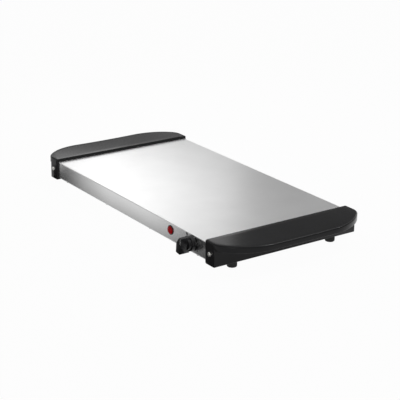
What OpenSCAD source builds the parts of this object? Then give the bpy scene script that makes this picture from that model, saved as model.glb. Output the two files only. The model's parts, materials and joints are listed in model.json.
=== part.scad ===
// Electric food warmer tray: a flat heated steel plate between two moulded grips.
// Millimetres. X runs along the tray, the control knob is on the -Y side, and the
// origin is the middle of the heating surface.

/* [Tray] */
// Length of the heating surface that shows between the handles
tray_l = 508; // [480:2:600]
// Depth of the heating surface, front to rear
tray_w = 300; // [290:2:340]
// Height of the folded front and rear skirts
skirt_h = 32.5; // [31.5:0.5:40]
// Thickness of the stainless steel sheet
sheet_t = 0.8; // [0.6:0.1:1.2]
// Outside radius of the sheet's folds
fold_r = 2; // [1.5:0.1:3]
// Length of sheet that is hidden in each handle
tuck_l = 20; // [19:0.5:21]
// Width of the inward return at the bottom of each skirt
return_w = 10; // [9:0.5:12]

/* [Handles] */
// Reach of the grip from the handle's inner edge, at mid depth
grip_reach = 74; // [70:1:90]
// Length of the block that holds the tray's end
block_l = 25.7; // [25.2:0.1:30]
// How far the block stands proud of the skirts, front and rear
cheek_proud = 3; // [2.5:0.1:4]
// How far the block reaches below the skirts
block_drop = 4.5; // [4.2:0.1:7]
// Height of the handle above the heating surface at its inner edge
handle_rise = 5.6; // [5:0.1:8]
// Fall of the grip's top, from its inner edge to its outer edge
grip_fall = 2.4; // [0:0.2:2.8]
// Depth of the grip's underside below the heating surface
grip_under = 7; // [6:0.5:10]
// Straight part of the grip's end, before the corner curve
end_straight = 20.5; // [18:0.5:24]
// Radius of the tight part of the corner curve
corner_r = 27; // [22:1:32]
// Angle that the tight part of the corner turns through
corner_turn = 42; // [36:1:46]
// Radius of the grip's top edge
edge_r = 3; // [1.5:0.25:3.5]
// Thickness of the handle's moulded walls
wall_t = 3; // [2.5:0.1:3.4]
// Radius of the block's bottom edge, tray side
block_in_r = 3.2; // [1:0.1:4]
// Radius of the block's bottom edge, outer side
block_out_r = 1.2; // [0.5:0.1:2.5]
// Thickness of the ribs under the grip
rib_t = 2; // [1.5:0.1:3]
// Distance between the ribs under the grip
rib_pitch = 30; // [24:1:40]
// Sheet thickness of the end brackets inside the handles
bracket_t = 1.5; // [1.2:0.1:2]
// Length of the end brackets along the tray
bracket_l = 15; // [14:0.5:16]

/* [Feet] */
// Diameter of a foot
foot_d = 17.6; // [15:0.2:18]
// Height of a foot below the handle
foot_h = 11.2; // [9:0.2:16]
// Distance of the feet inwards from the front and rear skirts
foot_in = 43; // [30:1:60]
// Rounding of a foot's bottom edge
foot_edge_r = 2; // [1:0.25:3]
// Distance of the feet and of the cheek screws beyond the handle's inner edge
fixing_out = 13; // [12.5:0.1:13.5]

/* [Screws] */
// Shank diameter of the handle and foot screws
screw_d = 4; // [3.5:0.1:4.5]
// Head diameter of the handle and foot screws
head_d = 8; // [7.5:0.1:8.8]
// Head height of the handle and foot screws
head_h = 2.6; // [2.2:0.1:3]
// Depth of the handle screws below the heating surface
screw_drop = 16.5; // [13:0.5:20]
// Shank diameter of the base pan screws
base_screw_d = 3; // [2.5:0.1:3.5]
// Base pan screws along each long edge
base_screws_n = 4; // [2:1:6]

/* [Base pan] */
// Thickness of the base pan sheet
pan_t = 0.6; // [0.5:0.1:0.8]
// Height of the upturned stiffening edges inside
pan_edge_h = 5; // [3:0.5:6]
// Length of one vent slot
vent_l = 40; // [20:1:60]
// Width of one vent slot
vent_w = 3; // [2:0.5:4]
// Distance between vent slots
vent_pitch = 9; // [7:0.5:12]
// Vent slots in each group
vents_n = 9; // [5:1:11]

/* [Heater] */
// Diameter of the heating element's tube
tube_d = 6.6; // [6:0.1:7]
// Distance between the element's straight runs
run_pitch = 56; // [50:1:60]
// Thickness of the aluminium heat spreader
spreader_t = 1.5; // [1:0.1:2]
// Thickness of the insulation blanket
blanket_t = 8; // [5:0.5:8.5]
// Thickness of the heat shield sheet
shield_t = 0.5; // [0.4:0.1:0.8]
// Width of the wiring channel along the front
channel_w = 42; // [40:1:46]
// Length of the wiring bay at the right end
bay_l = 46; // [45:1:50]
// Width of a clamp bar
clamp_w = 12; // [10:1:16]
// Thickness of a clamp bar
clamp_t = 1.2; // [1:0.1:1.5]
// Diameter of the clamp and earth studs
stud_d = 4; // [3.5:0.1:4.5]

/* [Control] */
// Distance of the knob's axis from the right handle
knob_in = 42.6; // [38:0.2:50]
// Depth of the knob's axis below the heating surface
knob_drop = 15; // [14:0.25:16.5]
// Diameter of the knob's collar where it meets the skirt
knob_d = 29.5; // [27:0.25:31]
// Diameter of the knob's collar at its front
collar_d = 27; // [25:0.25:28]
// Length of the knob's collar
collar_l = 7; // [5:0.25:8]
// Diameter of the knob's round hub
hub_d = 22; // [20:0.25:24]
// Length of the hub in front of the collar
hub_l = 5; // [3:0.25:6]
// Length of the whole knob
knob_l = 27.6; // [25:0.2:29]
// Reach of the grip bar from the knob's axis, at its pointing end
point_reach = 13.6; // [12:0.2:14.6]
// Reach of the grip bar from the knob's axis, at its blunt end
heel_reach = 15.4; // [13:0.2:15.8]
// Thickness of the grip bar at its ridge
bar_t = 12; // [11:0.25:13]
// Thickness of the grip bar at its pointing end
point_t = 5.8; // [4:0.2:7]
// Thickness of the grip bar at its blunt end
heel_t = 8.4; // [7:0.2:10]
// Turn of the knob from upright, in degrees, as the photo shows it
knob_turned = 10; // [0:1:20]
// Running gap between the knob and the skirt
knob_gap = 1; // [0.6:0.1:1.5]
// Diameter of the control shaft
shaft_d = 6; // [5.5:0.1:6.4]
// Distance from the shaft to the thermostat's contact stack
stack_in = 20; // [18:0.5:22]
// Height of the contact blades
blade_h = 8; // [6:0.5:9]

/* [Pilot light] */
// Distance of the pilot light from the right handle
lamp_in = 108; // [90:1:120]
// Depth of the pilot light below the heating surface
lamp_drop = 13.4; // [12:0.2:17]
// Diameter of the red lens
lens_d = 14.4; // [13:0.2:16]
// Height of the lens's dome
dome_h = 3; // [2:0.2:4]
// Diameter of the lens's barrel through the skirt
barrel_d = 11; // [10:0.2:12]

/* [Cord entry] */
// Distance of the cord entry from the right handle
gland_in = 23; // [20:0.5:26]
// Depth of the cord entry below the heating surface
gland_drop = 16; // [14:0.5:18]
// Diameter of the hole for the supply lead
gland_bore_d = 7.2; // [6:0.1:8]
// Diameter of the gland's neck
neck_d = 12; // [11:0.2:13]

/* [Fits] */
// Gap between parts that are screwed or seated together
seat_gap = 0.1; // [0.05:0.01:0.15]
// Radial gap of a turning or sliding fit
run_gap = 0.05; // [0.02:0.01:0.08]
// Gap around soft parts and beside moving blades
soft_gap = 0.3; // [0.2:0.05:0.35]

/* [Hidden] */
$fn = 48;

STEEL = [0.80, 0.80, 0.79];
ZINC = [0.62, 0.65, 0.67];
BLACK = [0.10, 0.10, 0.11];
NICKEL = [0.86, 0.85, 0.82];
BRASS = [0.76, 0.61, 0.28];
CERAMIC = [0.93, 0.90, 0.84];
ALLOY = [0.84, 0.85, 0.87];
RED = [0.72, 0.04, 0.07];

half_l = tray_l / 2;
half_w = tray_w / 2;
end_x = half_l + tuck_l;
skirt_in = half_w - sheet_t;
under_plate = -sheet_t;
return_top = -skirt_h + sheet_t;
pan_top = -skirt_h - seat_gap;
pan_bottom = pan_top - pan_t;
pan_floor = pan_top + seat_gap;
pan_tuck = 6;        // length of the pan inside each handle
pan_inset = 1.5;     // pan's edge behind the skirt's outer face
edge_inset = 1;      // stiffening edge behind the skirt's return
edge_short = 5;      // stiffening edge short of each handle
nip = 0.02;      // smallest step that keeps two faces apart
lead_gap = 0.15; // space between a lead's end and its tab
over = 1;        // how far a cutting tool runs past the face it cuts
hole_gap = 0.4;  // clearance of a screw's hole

// Handle block and grip outline, measured outwards from the handle's inner edge
cheek_y = half_w + cheek_proud;
block_bottom = -skirt_h - block_drop;
socket_floor = block_bottom + wall_t;
corner_sin = cos(corner_turn);
corner_cos = sin(corner_turn);
big_r = (grip_reach - end_straight - corner_r * corner_cos) / (1 - corner_cos);
corner_c = [end_straight, cheek_y - corner_r];
big_c = corner_c + (corner_r - big_r) * [corner_cos, corner_sin];
grip_tilt = atan(grip_fall / grip_reach);
inner_share = 0.3;   // the inner edge of the grip is rounded this much less

// Feet and fixings
foot_y = half_w - foot_in;
foot_top = block_bottom - nip;
foot_bottom = foot_top - foot_h;
recess_d = head_d + 1;
head_sink = 1.4;     // foot screw's head above the foot's bottom
recess_h = head_h + head_sink;
bracket_floor = return_top + seat_gap;
base_screw_in = 30;  // end base screws from the handles
base_screw_x = half_l - base_screw_in;
base_screw_y = half_w - return_w / 2;
end_play = 1;        // screw's thread past the sheet that it bites

// Heated zone
zone_end = 12;       // heated zone short of the left handle
zone_rear = 3;       // heated zone short of the rear return
zone_x0 = -half_l + zone_end;
zone_x1 = half_l - bay_l;
zone_y0 = -half_w + channel_w;
zone_y1 = half_w - return_w - zone_rear;
zone_cy = (zone_y0 + zone_y1) / 2;
spreader_z = under_plate - seat_gap - spreader_t;
tube_z = spreader_z - seat_gap - tube_d / 2;
spreader_in = 2;     // spreader short of the zone's long edges
blanket_in = 4;      // blanket short of the zone's edges
clamp_z = tube_z - tube_d / 2 - seat_gap - clamp_t;
nut_h = 0.8 * stud_d;
nut_af = 1.75 * stud_d;
stud_end = clamp_z - nut_h - end_play;
bend_r = run_pitch / 2;
run_margin = 12;
run_x0 = zone_x0 + run_margin + bend_r;
run_x1 = zone_x1 - run_margin - bend_r;
cold_in = 6;         // element's cold ends short of the wiring bay
cold_x = zone_x1 - cold_in;
bush_l = 8;
tube_wall = 0.3;     // wall of the element's tube around its bushes
pin_d = 3;
pin_stub = 9;        // pin past its bush
pin_end = cold_x + bush_l + pin_stub;
clamp_in = 20;       // end clamps from the element's bends
clamp_xs = [run_x0 + clamp_in, (run_x0 + run_x1) / 2, run_x1 - clamp_in];
blanket_top = stud_end - soft_gap;
blanket_z = blanket_top - blanket_t;
shield_top = blanket_z - soft_gap;

// Control
knob_x = half_l - knob_in;
bracket_y = -skirt_in + seat_gap;
thermo_t = 1.2;
thermo_face = bracket_y + thermo_t;
bush_flange_t = 1.5;
bush_reach = 9.2;    // bushing past the bracket
shaft_short = 2.6;   // shaft's end short of the bushing's end
leaf_rise = 1.2;     // leaf past the bushing's end
bush_end = thermo_face + bush_reach;
shaft_in = bush_end - shaft_short;
pin_in = shaft_in + soft_gap;
push_d = 3;
leaf_y = bush_end + leaf_rise;
push_end = leaf_y - soft_gap;
leaf_t = 0.5;
stack_x = knob_x - stack_in;
ring_d = 12;
rivet_d = 4;
blade_gap = 3;
bimetal_y = leaf_y + leaf_t + blade_gap;
bimetal_t = 0.6;
last_ring_t = 2.5;
contact_off = 4;     // contacts past the shaft's axis
stack_end = bimetal_y + bimetal_t + last_ring_t;
contact_x = knob_x + contact_off;
contact_d = 4;
contact_h = 1.1;
bush_wall = 1.8;
thread_d = shaft_d + 2 * bush_wall;
thread_out = 4.4;    // bushing's thread in front of the skirt
bushing_out = -half_w - thread_out;
panel_nut_t = 2.4;
panel_nut_af = thread_d + 4;
knob_back = -half_w - knob_gap;
knob_front = knob_back - knob_l;
knob_end_t = 5;      // knob's solid front past the shaft
shaft_out = knob_front + knob_end_t;
flat_depth = shaft_d / 6;
flat_l = bushing_out - shaft_out - 0.5;
clip_t = 0.4;

// Pilot light
lamp_x = half_l - lamp_in;
gasket_t = 0.8;
flange_t = 1;
barrel_l = 16;
bulb_d = 6;

// Cord entry, terminals and the parts in the wiring bay
gland_x = half_l - gland_in;
gland_head_l = 10;
gland_in_l = 12;
bay_x = gland_x;
block_l_y = 20;
block_w_x = 38;
block_h_z = 15;
block_y = half_w - 44;
pole_pitch = 12;
pole_z = pan_floor + 8;
pole_bore = 5;
insert_bore = 3;
fuse_y = -32;
fuse_l = 12;
fuse_d = 4;
fuse_z = under_plate - seat_gap - fuse_d / 2;
earth_y = 62;
earth_z = under_plate - nip - 7;
lead_d = 2.6;
tab_l = 8;
tab_w = 7;
tab_h = 3;
plug_l = 4;
tail_x = stack_x - 16;
fuse_x = bay_x - 8;
fuse_end_y = fuse_y + fuse_l;
ring_z = under_plate - seat_gap - 0.8;
pole_y = block_y - block_l_y / 2 - 4;
wire_z = pan_top + 4;
front_run_y = -half_w + return_w - 1.5;
bimetal_tab = [tail_x - nip - tab_l, bimetal_y + bimetal_t / 2, -knob_drop];
leaf_tab = [tail_x - nip - tab_l, leaf_y - soft_gap - bimetal_t / 2, -knob_drop];
live_pin_tab = [pin_end + nip + tab_l, zone_cy - 1.5 * run_pitch, tube_z];
neutral_pin_tab = [pin_end + nip + tab_l, zone_cy + 1.5 * run_pitch, tube_z];
earth_tab = [bay_x + stud_d + 7, earth_y, ring_z - 0.6];

// ---------- shared shapes ----------

module round_rect(size, r) {
    square([size.x - 2 * r, size.y], center = true);
    square([size.x, size.y - 2 * r], center = true);
    for (sx = [-1, 1], sy = [-1, 1])
        translate([sx * (size.x / 2 - r), sy * (size.y / 2 - r)])
            circle(r);
}

// An outline drawn in Y and Z, extruded both ways along X
module along_x(length) {
    rotate([90, 0, 90])
        linear_extrude(length, center = true)
            children();
}

// An outline drawn in X and Z, extruded both ways along Y
module along_y(length) {
    rotate([90, 0, 0])
        linear_extrude(length, center = true)
            children();
}

// A box given by its lowest and highest corners
module span(low, high) {
    translate(low)
        cube(high - low);
}

module rod_x(d, x0, x1) {
    translate([x0, 0, 0])
        rotate([0, 90, 0])
            cylinder(d = d, h = x1 - x0);
}

module rod_y(d, y0, y1) {
    translate([0, y1, 0])
        rotate([90, 0, 0])
            cylinder(d = d, h = y1 - y0);
}

module hex_rod(af, h) {
    cylinder(d = af / cos(30), h = h, $fn = 6);
}

// A pan head screw: the head rises along +Z from 0 and the shank goes down
module pan_screw(d, hd, hh, length) {
    slot_w = hd / 6;
    difference() {
        rotate_extrude() {
            square([d / 2, nip]);
            square([hd / 2, hh / 2]);
            square([hd / 2 - hh / 2, hh]);
            intersection() {
                translate([hd / 2 - hh / 2, hh / 2])
                    circle(hh / 2);
                square([hd / 2, hh]);
            }
        }
        for (a = [0, 90])
            rotate(a)
                translate([-hd / 4, -slot_w / 2, hh / 2])
                    cube([hd / 2, slot_w, hh]);
    }
    translate([0, 0, -length])
        cylinder(d = d, h = length);
}

// ---------- sheet metal tray ----------

module at_handle_screws() {
    for (sx = [-1, 1], sy = [-1, 1])
        translate([sx * (half_l + fixing_out), sy * cheek_y, -screw_drop])
            rotate([-sy * 90, 0, 0])
                children();
}

module at_base_screws() {
    step = 2 * base_screw_x / (base_screws_n - 1);
    for (i = [0 : base_screws_n - 1], sy = [-1, 1])
        translate([-base_screw_x + i * step, sy * base_screw_y, pan_bottom])
            rotate([180, 0, 0])
                children();
}

module tray_section() {
    translate([0, -skirt_h / 2])
        difference() {
            round_rect([tray_w, skirt_h], fold_r);
            round_rect([tray_w - 2 * sheet_t, skirt_h - 2 * sheet_t], fold_r - sheet_t);
            translate([0, -skirt_h / 2])
                square([tray_w - 2 * return_w, 4 * sheet_t], center = true);
        }
}

module warming_plate() color(STEEL) difference() {
    along_x(2 * end_x)
        tray_section();
    at_handle_screws()
        translate([0, 0, -cheek_proud - sheet_t - over])
            cylinder(d = screw_d + hole_gap, h = sheet_t + 2 * over);
    at_base_screws()
        translate([0, 0, -sheet_t - pan_t - over])
            cylinder(d = base_screw_d + 2 * run_gap, h = sheet_t + pan_t + over);
    translate([knob_x, 0, -knob_drop])
        rod_y(thread_d + hole_gap, -half_w - over, -skirt_in + over);
    translate([lamp_x, 0, -lamp_drop])
        rod_y(barrel_d + hole_gap, -half_w - over, -skirt_in + over);
    translate([gland_x, 0, -gland_drop])
        rod_y(neck_d + hole_gap, skirt_in - over, half_w + over);
}

module vent_group(x) {
    for (i = [0 : vents_n - 1])
        translate([x + (i - (vents_n - 1) / 2) * vent_pitch, 0, pan_bottom - over])
            linear_extrude(pan_t + 2 * over) {
                square([vent_w, vent_l], center = true);
                for (sy = [-1, 1])
                    translate([0, sy * vent_l / 2])
                        circle(d = vent_w);
            }
}

module base_pan() color(ZINC) difference() {
    pan_x = half_l + pan_tuck;
    pan_y = half_w - pan_inset;
    edge_y = half_w - return_w - edge_inset;
    union() {
        span([-pan_x, -pan_y, pan_bottom], [pan_x, pan_y, pan_top]);
        for (sy = [-1, 1])
            translate([0, sy * (edge_y - pan_t / 2), pan_top + pan_edge_h / 2])
                cube([2 * (half_l - edge_short), pan_t, pan_edge_h + nip], center = true);
    }
    vent_group(-half_l / 2);
    vent_group(half_l / 2);
    at_base_screws()
        translate([0, 0, -pan_t - over])
            cylinder(d = base_screw_d + hole_gap, h = pan_t + 2 * over);
    at_block_screws()
        translate([0, 0, -over])
            cylinder(d = base_screw_d + 2 * run_gap, h = pan_t + 2 * over);
}

module end_bracket() {
    x0 = end_x - bracket_l;
    z0 = bracket_floor;
    size = [2 * (skirt_in - seat_gap), under_plate - seat_gap - z0];
    difference() {
        translate([end_x - (bracket_l + seat_gap) / 2, 0, z0 + size.y / 2])
            along_x(bracket_l - seat_gap)
                round_rect(size, fold_r);
        translate([end_x - bracket_l / 2 - seat_gap - bracket_t, 0, z0 + size.y / 2])
            along_x(bracket_l)
                round_rect(size - 2 * bracket_t * [1, 1], fold_r / 2);
        at_handle_screws()
            translate([0, 0, -cheek_proud - bracket_t - sheet_t - over])
                cylinder(d = screw_d + 2 * run_gap, h = bracket_t + sheet_t + over);
        for (sy = [-1, 1])
            translate([half_l + fixing_out, sy * foot_y, z0 - over])
                cylinder(d = screw_d + 2 * run_gap, h = bracket_t + 2 * over);
    }
}

module left_end_bracket() color(ZINC) mirror([1, 0, 0]) end_bracket();
module right_end_bracket() color(ZINC) end_bracket();

// ---------- moulded handles ----------

function arc_points(c, r, a0, a1, n) =
    [for (i = [0 : n]) c + r * [cos(a0 + (a1 - a0) * i / n), sin(a0 + (a1 - a0) * i / n)]];

// The half of the grip's outline on +Y, drawn in by k
function grip_half(k) = concat(
    [[inner_share * k, cheek_y - k]],
    arc_points(corner_c, corner_r - k, 90, 90 - corner_turn, 7),
    arc_points(big_c, big_r - k, 90 - corner_turn, 0, 12));

module grip_outline(k) {
    half = grip_half(k);
    last = len(half) - 1;
    polygon(concat(half, [for (i = [0 : last]) [half[last - i].x, -half[last - i].y]]));
}

// The grip: a slab whose top falls outwards and whose top edge is rounded
module grip_slab() {
    hull() {
        translate([0, 0, -grip_under])
            linear_extrude(nip)
                grip_outline(0);
        for (a = [0, 30, 60, 90])
            translate([0, 0, handle_rise])
                rotate([0, grip_tilt, 0])
                    translate([0, 0, -edge_r * (1 - sin(a)) - nip])
                        linear_extrude(nip)
                            grip_outline(edge_r * (1 - cos(a)));
    }
}

// The block around the tray's end, with its bottom edges rounded
module block_section() {
    h = -block_bottom - grip_under + nip;
    translate([0, block_bottom]) {
        translate([0, block_in_r])
            square([block_in_r + nip, h - block_in_r]);
        translate([block_in_r, block_in_r])
            circle(block_in_r);
        translate([block_in_r, 0])
            square([block_l - block_in_r - block_out_r, h]);
        translate([block_l - block_out_r, block_out_r])
            circle(block_out_r);
        translate([block_l - block_out_r - nip, block_out_r])
            square([block_out_r + nip, h - block_out_r]);
    }
}

module grip_pocket() {
    ceiling = handle_rise - grip_fall - wall_t;
    ribs_n = floor((cheek_y - wall_t) / rib_pitch);
    difference() {
        translate([0, 0, -grip_under - over])
            linear_extrude(ceiling + grip_under + over)
                intersection() {
                    grip_outline(wall_t);
                    translate([block_l, -cheek_y])
                        square([grip_reach, 2 * cheek_y]);
                }
        for (i = [-ribs_n : ribs_n])
            translate([0, i * rib_pitch - rib_t / 2, -grip_under])
                cube([grip_reach, rib_t, 2 * grip_under]);
    }
}

// Drawn with its inner edge at the origin and its grip towards +X
module handle_body() {
    boss_h = bracket_floor - seat_gap - socket_floor;
    difference() {
        union() {
            grip_slab();
            along_y(2 * cheek_y)
                block_section();
        }
        span([-over, -half_w - seat_gap, socket_floor],
            [block_l - wall_t, half_w + seat_gap, seat_gap]);
        grip_pocket();
        translate([-half_l, 0, 0])
            at_handle_screws()
                translate([0, 0, -cheek_proud - over])
                    cylinder(d = screw_d + hole_gap, h = cheek_proud + 2 * over);
        for (sy = [-1, 1])
            translate([fixing_out, sy * foot_y, block_bottom - over])
                cylinder(d = screw_d + hole_gap, h = wall_t + 2 * over);
    }
    for (sy = [-1, 1])
        translate([fixing_out, sy * foot_y, socket_floor - nip])
            difference() {
                cylinder(d = screw_d + 2 * wall_t, h = boss_h + nip);
                translate([0, 0, -over])
                    cylinder(d = screw_d + hole_gap, h = boss_h + 2 * over);
            }
}

module left_handle() color(BLACK) mirror([1, 0, 0]) translate([half_l, 0, 0]) handle_body();
module right_handle() color(BLACK) translate([half_l, 0, 0]) handle_body();

// ---------- feet and screws ----------

module foot(sx, sy) color(BLACK)
    translate([sx * (half_l + fixing_out), sy * foot_y, foot_bottom])
        rotate_extrude()
            difference() {
                union() {
                    translate([0, foot_edge_r])
                        square([foot_d / 2, foot_h - foot_edge_r]);
                    square([foot_d / 2 - foot_edge_r, foot_h]);
                    translate([foot_d / 2 - foot_edge_r, foot_edge_r])
                        circle(foot_edge_r);
                }
                translate([-over, -over])
                    square([recess_d / 2 + over, recess_h + over]);
                translate([-over, -over])
                    square([(screw_d + hole_gap) / 2 + over, foot_h + 2 * over]);
            }

module front_left_foot() foot(-1, -1);
module rear_left_foot() foot(-1, 1);
module front_right_foot() foot(1, -1);
module rear_right_foot() foot(1, 1);

module foot_screws() color(NICKEL) {
    seat_z = foot_bottom + recess_h - nip;
    for (sx = [-1, 1], sy = [-1, 1])
        translate([sx * (half_l + fixing_out), sy * foot_y, seat_z])
            rotate([180, 0, 0])
                pan_screw(screw_d, head_d, head_h, bracket_floor + bracket_t + end_play - seat_z);
}

module handle_screws() color(NICKEL)
    at_handle_screws()
        translate([0, 0, nip])
            rotate(20)
                pan_screw(screw_d, head_d, head_h, cheek_proud + sheet_t + bracket_t + 2 * end_play);

module base_screws() color(NICKEL)
    at_base_screws()
        translate([0, 0, nip])
            pan_screw(base_screw_d, 2 * base_screw_d, 0.6 * base_screw_d, pan_t + sheet_t + 3 * end_play);

// ---------- heater ----------

module at_studs() {
    for (x = clamp_xs, i = [-1 : 1])
        translate([x, zone_cy + i * run_pitch, 0])
            children();
}

module heat_spreader() color(ALLOY) difference() {
    span([zone_x0, zone_y0 + spreader_in, spreader_z],
        [zone_x1, zone_y1 - spreader_in, spreader_z + spreader_t]);
    at_studs()
        translate([0, 0, spreader_z - over])
            cylinder(d = stud_d + 2 * hole_gap, h = spreader_t + 2 * over);
}

module element_run(i, x0, x1) {
    translate([0, zone_cy + (i - 1.5) * run_pitch, tube_z])
        rod_x(tube_d, x0, x1);
}

// A half turn between two runs; side is -1 at the left end and 1 at the right
module element_bend(i, side) {
    x = side < 0 ? run_x0 : run_x1;
    translate([x, zone_cy + (i - 1) * run_pitch, tube_z])
        rotate(-90 * side)
            rotate_extrude(angle = 180)
                translate([bend_r, 0])
                    circle(d = tube_d);
}

module heating_element() color([0.45, 0.46, 0.48]) {
    element_run(0, run_x0, cold_x);
    element_run(1, run_x0, run_x1);
    element_run(2, run_x0, run_x1);
    element_run(3, run_x0, cold_x);
    element_bend(0, -1);
    element_bend(1, 1);
    element_bend(2, -1);
}

module at_cold_ends() {
    for (i = [0, 3])
        translate([0, zone_cy + (i - 1.5) * run_pitch, tube_z])
            children();
}

module element_bushes() color(CERAMIC)
    at_cold_ends()
        difference() {
            rod_x(tube_d - 2 * tube_wall, cold_x + nip, cold_x + bush_l);
            rod_x(pin_d + 2 * run_gap, cold_x - over, cold_x + bush_l + over);
        }

module element_pins() color(NICKEL)
    at_cold_ends()
        rod_x(pin_d, cold_x + nip, pin_end);

module clamp_studs() color(ZINC)
    at_studs()
        translate([0, 0, stud_end])
            cylinder(d = stud_d, h = under_plate - nip - stud_end);

module element_clamps() color(ZINC) {
    bar_y = run_pitch * 1.5 + tube_d;
    for (x = clamp_xs)
        difference() {
            span([x - clamp_w / 2, zone_cy - bar_y, clamp_z],
                [x + clamp_w / 2, zone_cy + bar_y, clamp_z + clamp_t]);
            for (i = [-1 : 1])
                translate([x, zone_cy + i * run_pitch, clamp_z - over])
                    cylinder(d = stud_d + hole_gap, h = clamp_t + 2 * over);
        }
}

module clamp_nuts() color(NICKEL)
    at_studs()
        translate([0, 0, clamp_z - nip - nut_h])
            difference() {
                hex_rod(nut_af, nut_h);
                translate([0, 0, -over])
                    cylinder(d = stud_d + 2 * run_gap, h = nut_h + 2 * over);
            }

module insulation_blanket() color([0.90, 0.88, 0.80])
    span([zone_x0 + blanket_in, zone_y0 + blanket_in, blanket_z],
        [zone_x1 - blanket_in, zone_y1 - blanket_in, blanket_top]);

// A sheet table that stands on the base pan on two folded legs with feet
module heat_shield() color(ZINC) {
    foot_w = 8;
    leg_z = pan_top + nip;
    span([zone_x0, zone_y0, shield_top - shield_t], [zone_x1, zone_y1, shield_top]);
    for (y = [zone_y0, zone_y1 - shield_t])
        span([zone_x0, y, leg_z], [zone_x1, y + shield_t, shield_top]);
    span([zone_x0, zone_y0, leg_z], [zone_x1, zone_y0 + foot_w, leg_z + shield_t]);
    span([zone_x0, zone_y1 - foot_w, leg_z], [zone_x1, zone_y1, leg_z + shield_t]);
}

// ---------- control ----------

// A strip bent once: its outer corner is at the origin, one leg goes down and one along +Y
module bent_section(y_len, z_len, t, r) {
    difference() {
        union() {
            translate([r, -z_len])
                square([y_len - r, z_len]);
            translate([0, -z_len])
                square([r + nip, z_len - r]);
            translate([r, -r])
                circle(r);
        }
        translate([r, -z_len - over])
            square([y_len, z_len + over - t]);
        translate([t, -z_len - over])
            square([r, z_len + over - r]);
        translate([r, -r])
            circle(r - t);
    }
}

module at_control() {
    translate([knob_x, 0, -knob_drop])
        children();
}

module at_stack() {
    translate([stack_x, 0, -knob_drop])
        children();
}

module thermostat_bracket() color(ZINC) {
    x0 = stack_x - ring_d / 2 - 2;
    x1 = knob_x + thread_d / 2 + 5;
    top = under_plate - seat_gap;
    difference() {
        translate([(x0 + x1) / 2, bracket_y, top])
            along_x(x1 - x0)
                bent_section(24, top + knob_drop + 9, thermo_t, fold_r);
        at_control()
            rod_y(thread_d + hole_gap, bracket_y - over, thermo_face + over);
        at_stack()
            rod_y(rivet_d + 2 * run_gap, bracket_y - over, thermo_face + over);
    }
}

module shaft_bushing() color(BRASS)
    at_control()
        difference() {
            union() {
                rod_y(thread_d, bushing_out, bush_end);
                rod_y(thread_d + 6, thermo_face + nip, thermo_face + bush_flange_t);
            }
            rod_y(shaft_d + 2 * run_gap, bushing_out - over, shaft_in + soft_gap / 2);
            rod_y(push_d + 2 * run_gap, shaft_in, bush_end + over);
        }

module bushing_nut() color(NICKEL)
    at_control()
        translate([0, -half_w - nip, 0])
            rotate([90, 0, 0])
                difference() {
                    hex_rod(panel_nut_af, panel_nut_t);
                    translate([0, 0, -over])
                        cylinder(d = thread_d + 2 * run_gap, h = panel_nut_t + 2 * over);
                }

module ring_y(d, bore, y0, y1) {
    difference() {
        rod_y(d, y0, y1);
        rod_y(bore, y0 - over, y1 + over);
    }
}

module stack_rings() color(CERAMIC)
    at_stack() {
        bore = rivet_d + 2 * run_gap;
        ring_y(ring_d, bore, thermo_face + nip, leaf_y - soft_gap - bimetal_t - nip);
        ring_y(ring_d, bore, leaf_y + leaf_t + soft_gap, bimetal_y - nip);
        ring_y(ring_d, bore, bimetal_y + bimetal_t + nip, stack_end);
    }

module stack_rivet() color(NICKEL)
    at_stack() {
        rod_y(rivet_d, bracket_y, stack_end + 1);
        rod_y(1.8 * rivet_d, stack_end + nip, stack_end + 1.2);
    }

// A strip of blade in X and Z with a hole for the rivet
module blade(x0, x1, y, t, hole_d) {
    difference() {
        span([x0, y, -knob_drop - blade_h / 2], [x1, y + t, -knob_drop + blade_h / 2]);
        at_stack()
            rod_y(hole_d, y - over, y + t + over);
    }
}

module bimetal_blade() color([0.70, 0.62, 0.50]) {
    blade(tail_x, contact_x + 3, bimetal_y, bimetal_t, rivet_d + 2 * run_gap);
    translate([contact_x, 0, -knob_drop])
        rod_y(contact_d, bimetal_y - contact_h, bimetal_y + nip);
}

module leaf_terminal() color(BRASS)
    blade(tail_x, stack_x + ring_d / 2, leaf_y - soft_gap - bimetal_t, bimetal_t,
        rivet_d + 2 * run_gap);

// The leaf rocks about the rivet's centre line, in a slot between the rings
module contact_leaf() color(BRASS) {
    blade(stack_x - ring_d / 2, contact_x + 3, leaf_y, leaf_t, rivet_d + 4 * soft_gap);
    translate([contact_x, 0, -knob_drop])
        rod_y(contact_d, leaf_y + leaf_t - nip, leaf_y + leaf_t + contact_h);
}

module push_pin() color(CERAMIC)
    at_control()
        rod_y(push_d, pin_in, push_end);

module control_shaft() color(NICKEL)
    at_control()
        rotate([0, knob_turned, 0])
            difference() {
                rod_y(shaft_d, shaft_out, shaft_in);
                span([shaft_d / 2 - flat_depth, shaft_out - over, -shaft_d],
                    [shaft_d, shaft_out + flat_l, shaft_d]);
            }

// Local frame of the knob: +Z points out of the skirt, +Y to the bar's pointing end
module at_knob() {
    translate([knob_x, knob_back, -knob_drop])
        rotate([90, 0, 0])
            rotate(-knob_turned)
                children();
}

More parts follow.
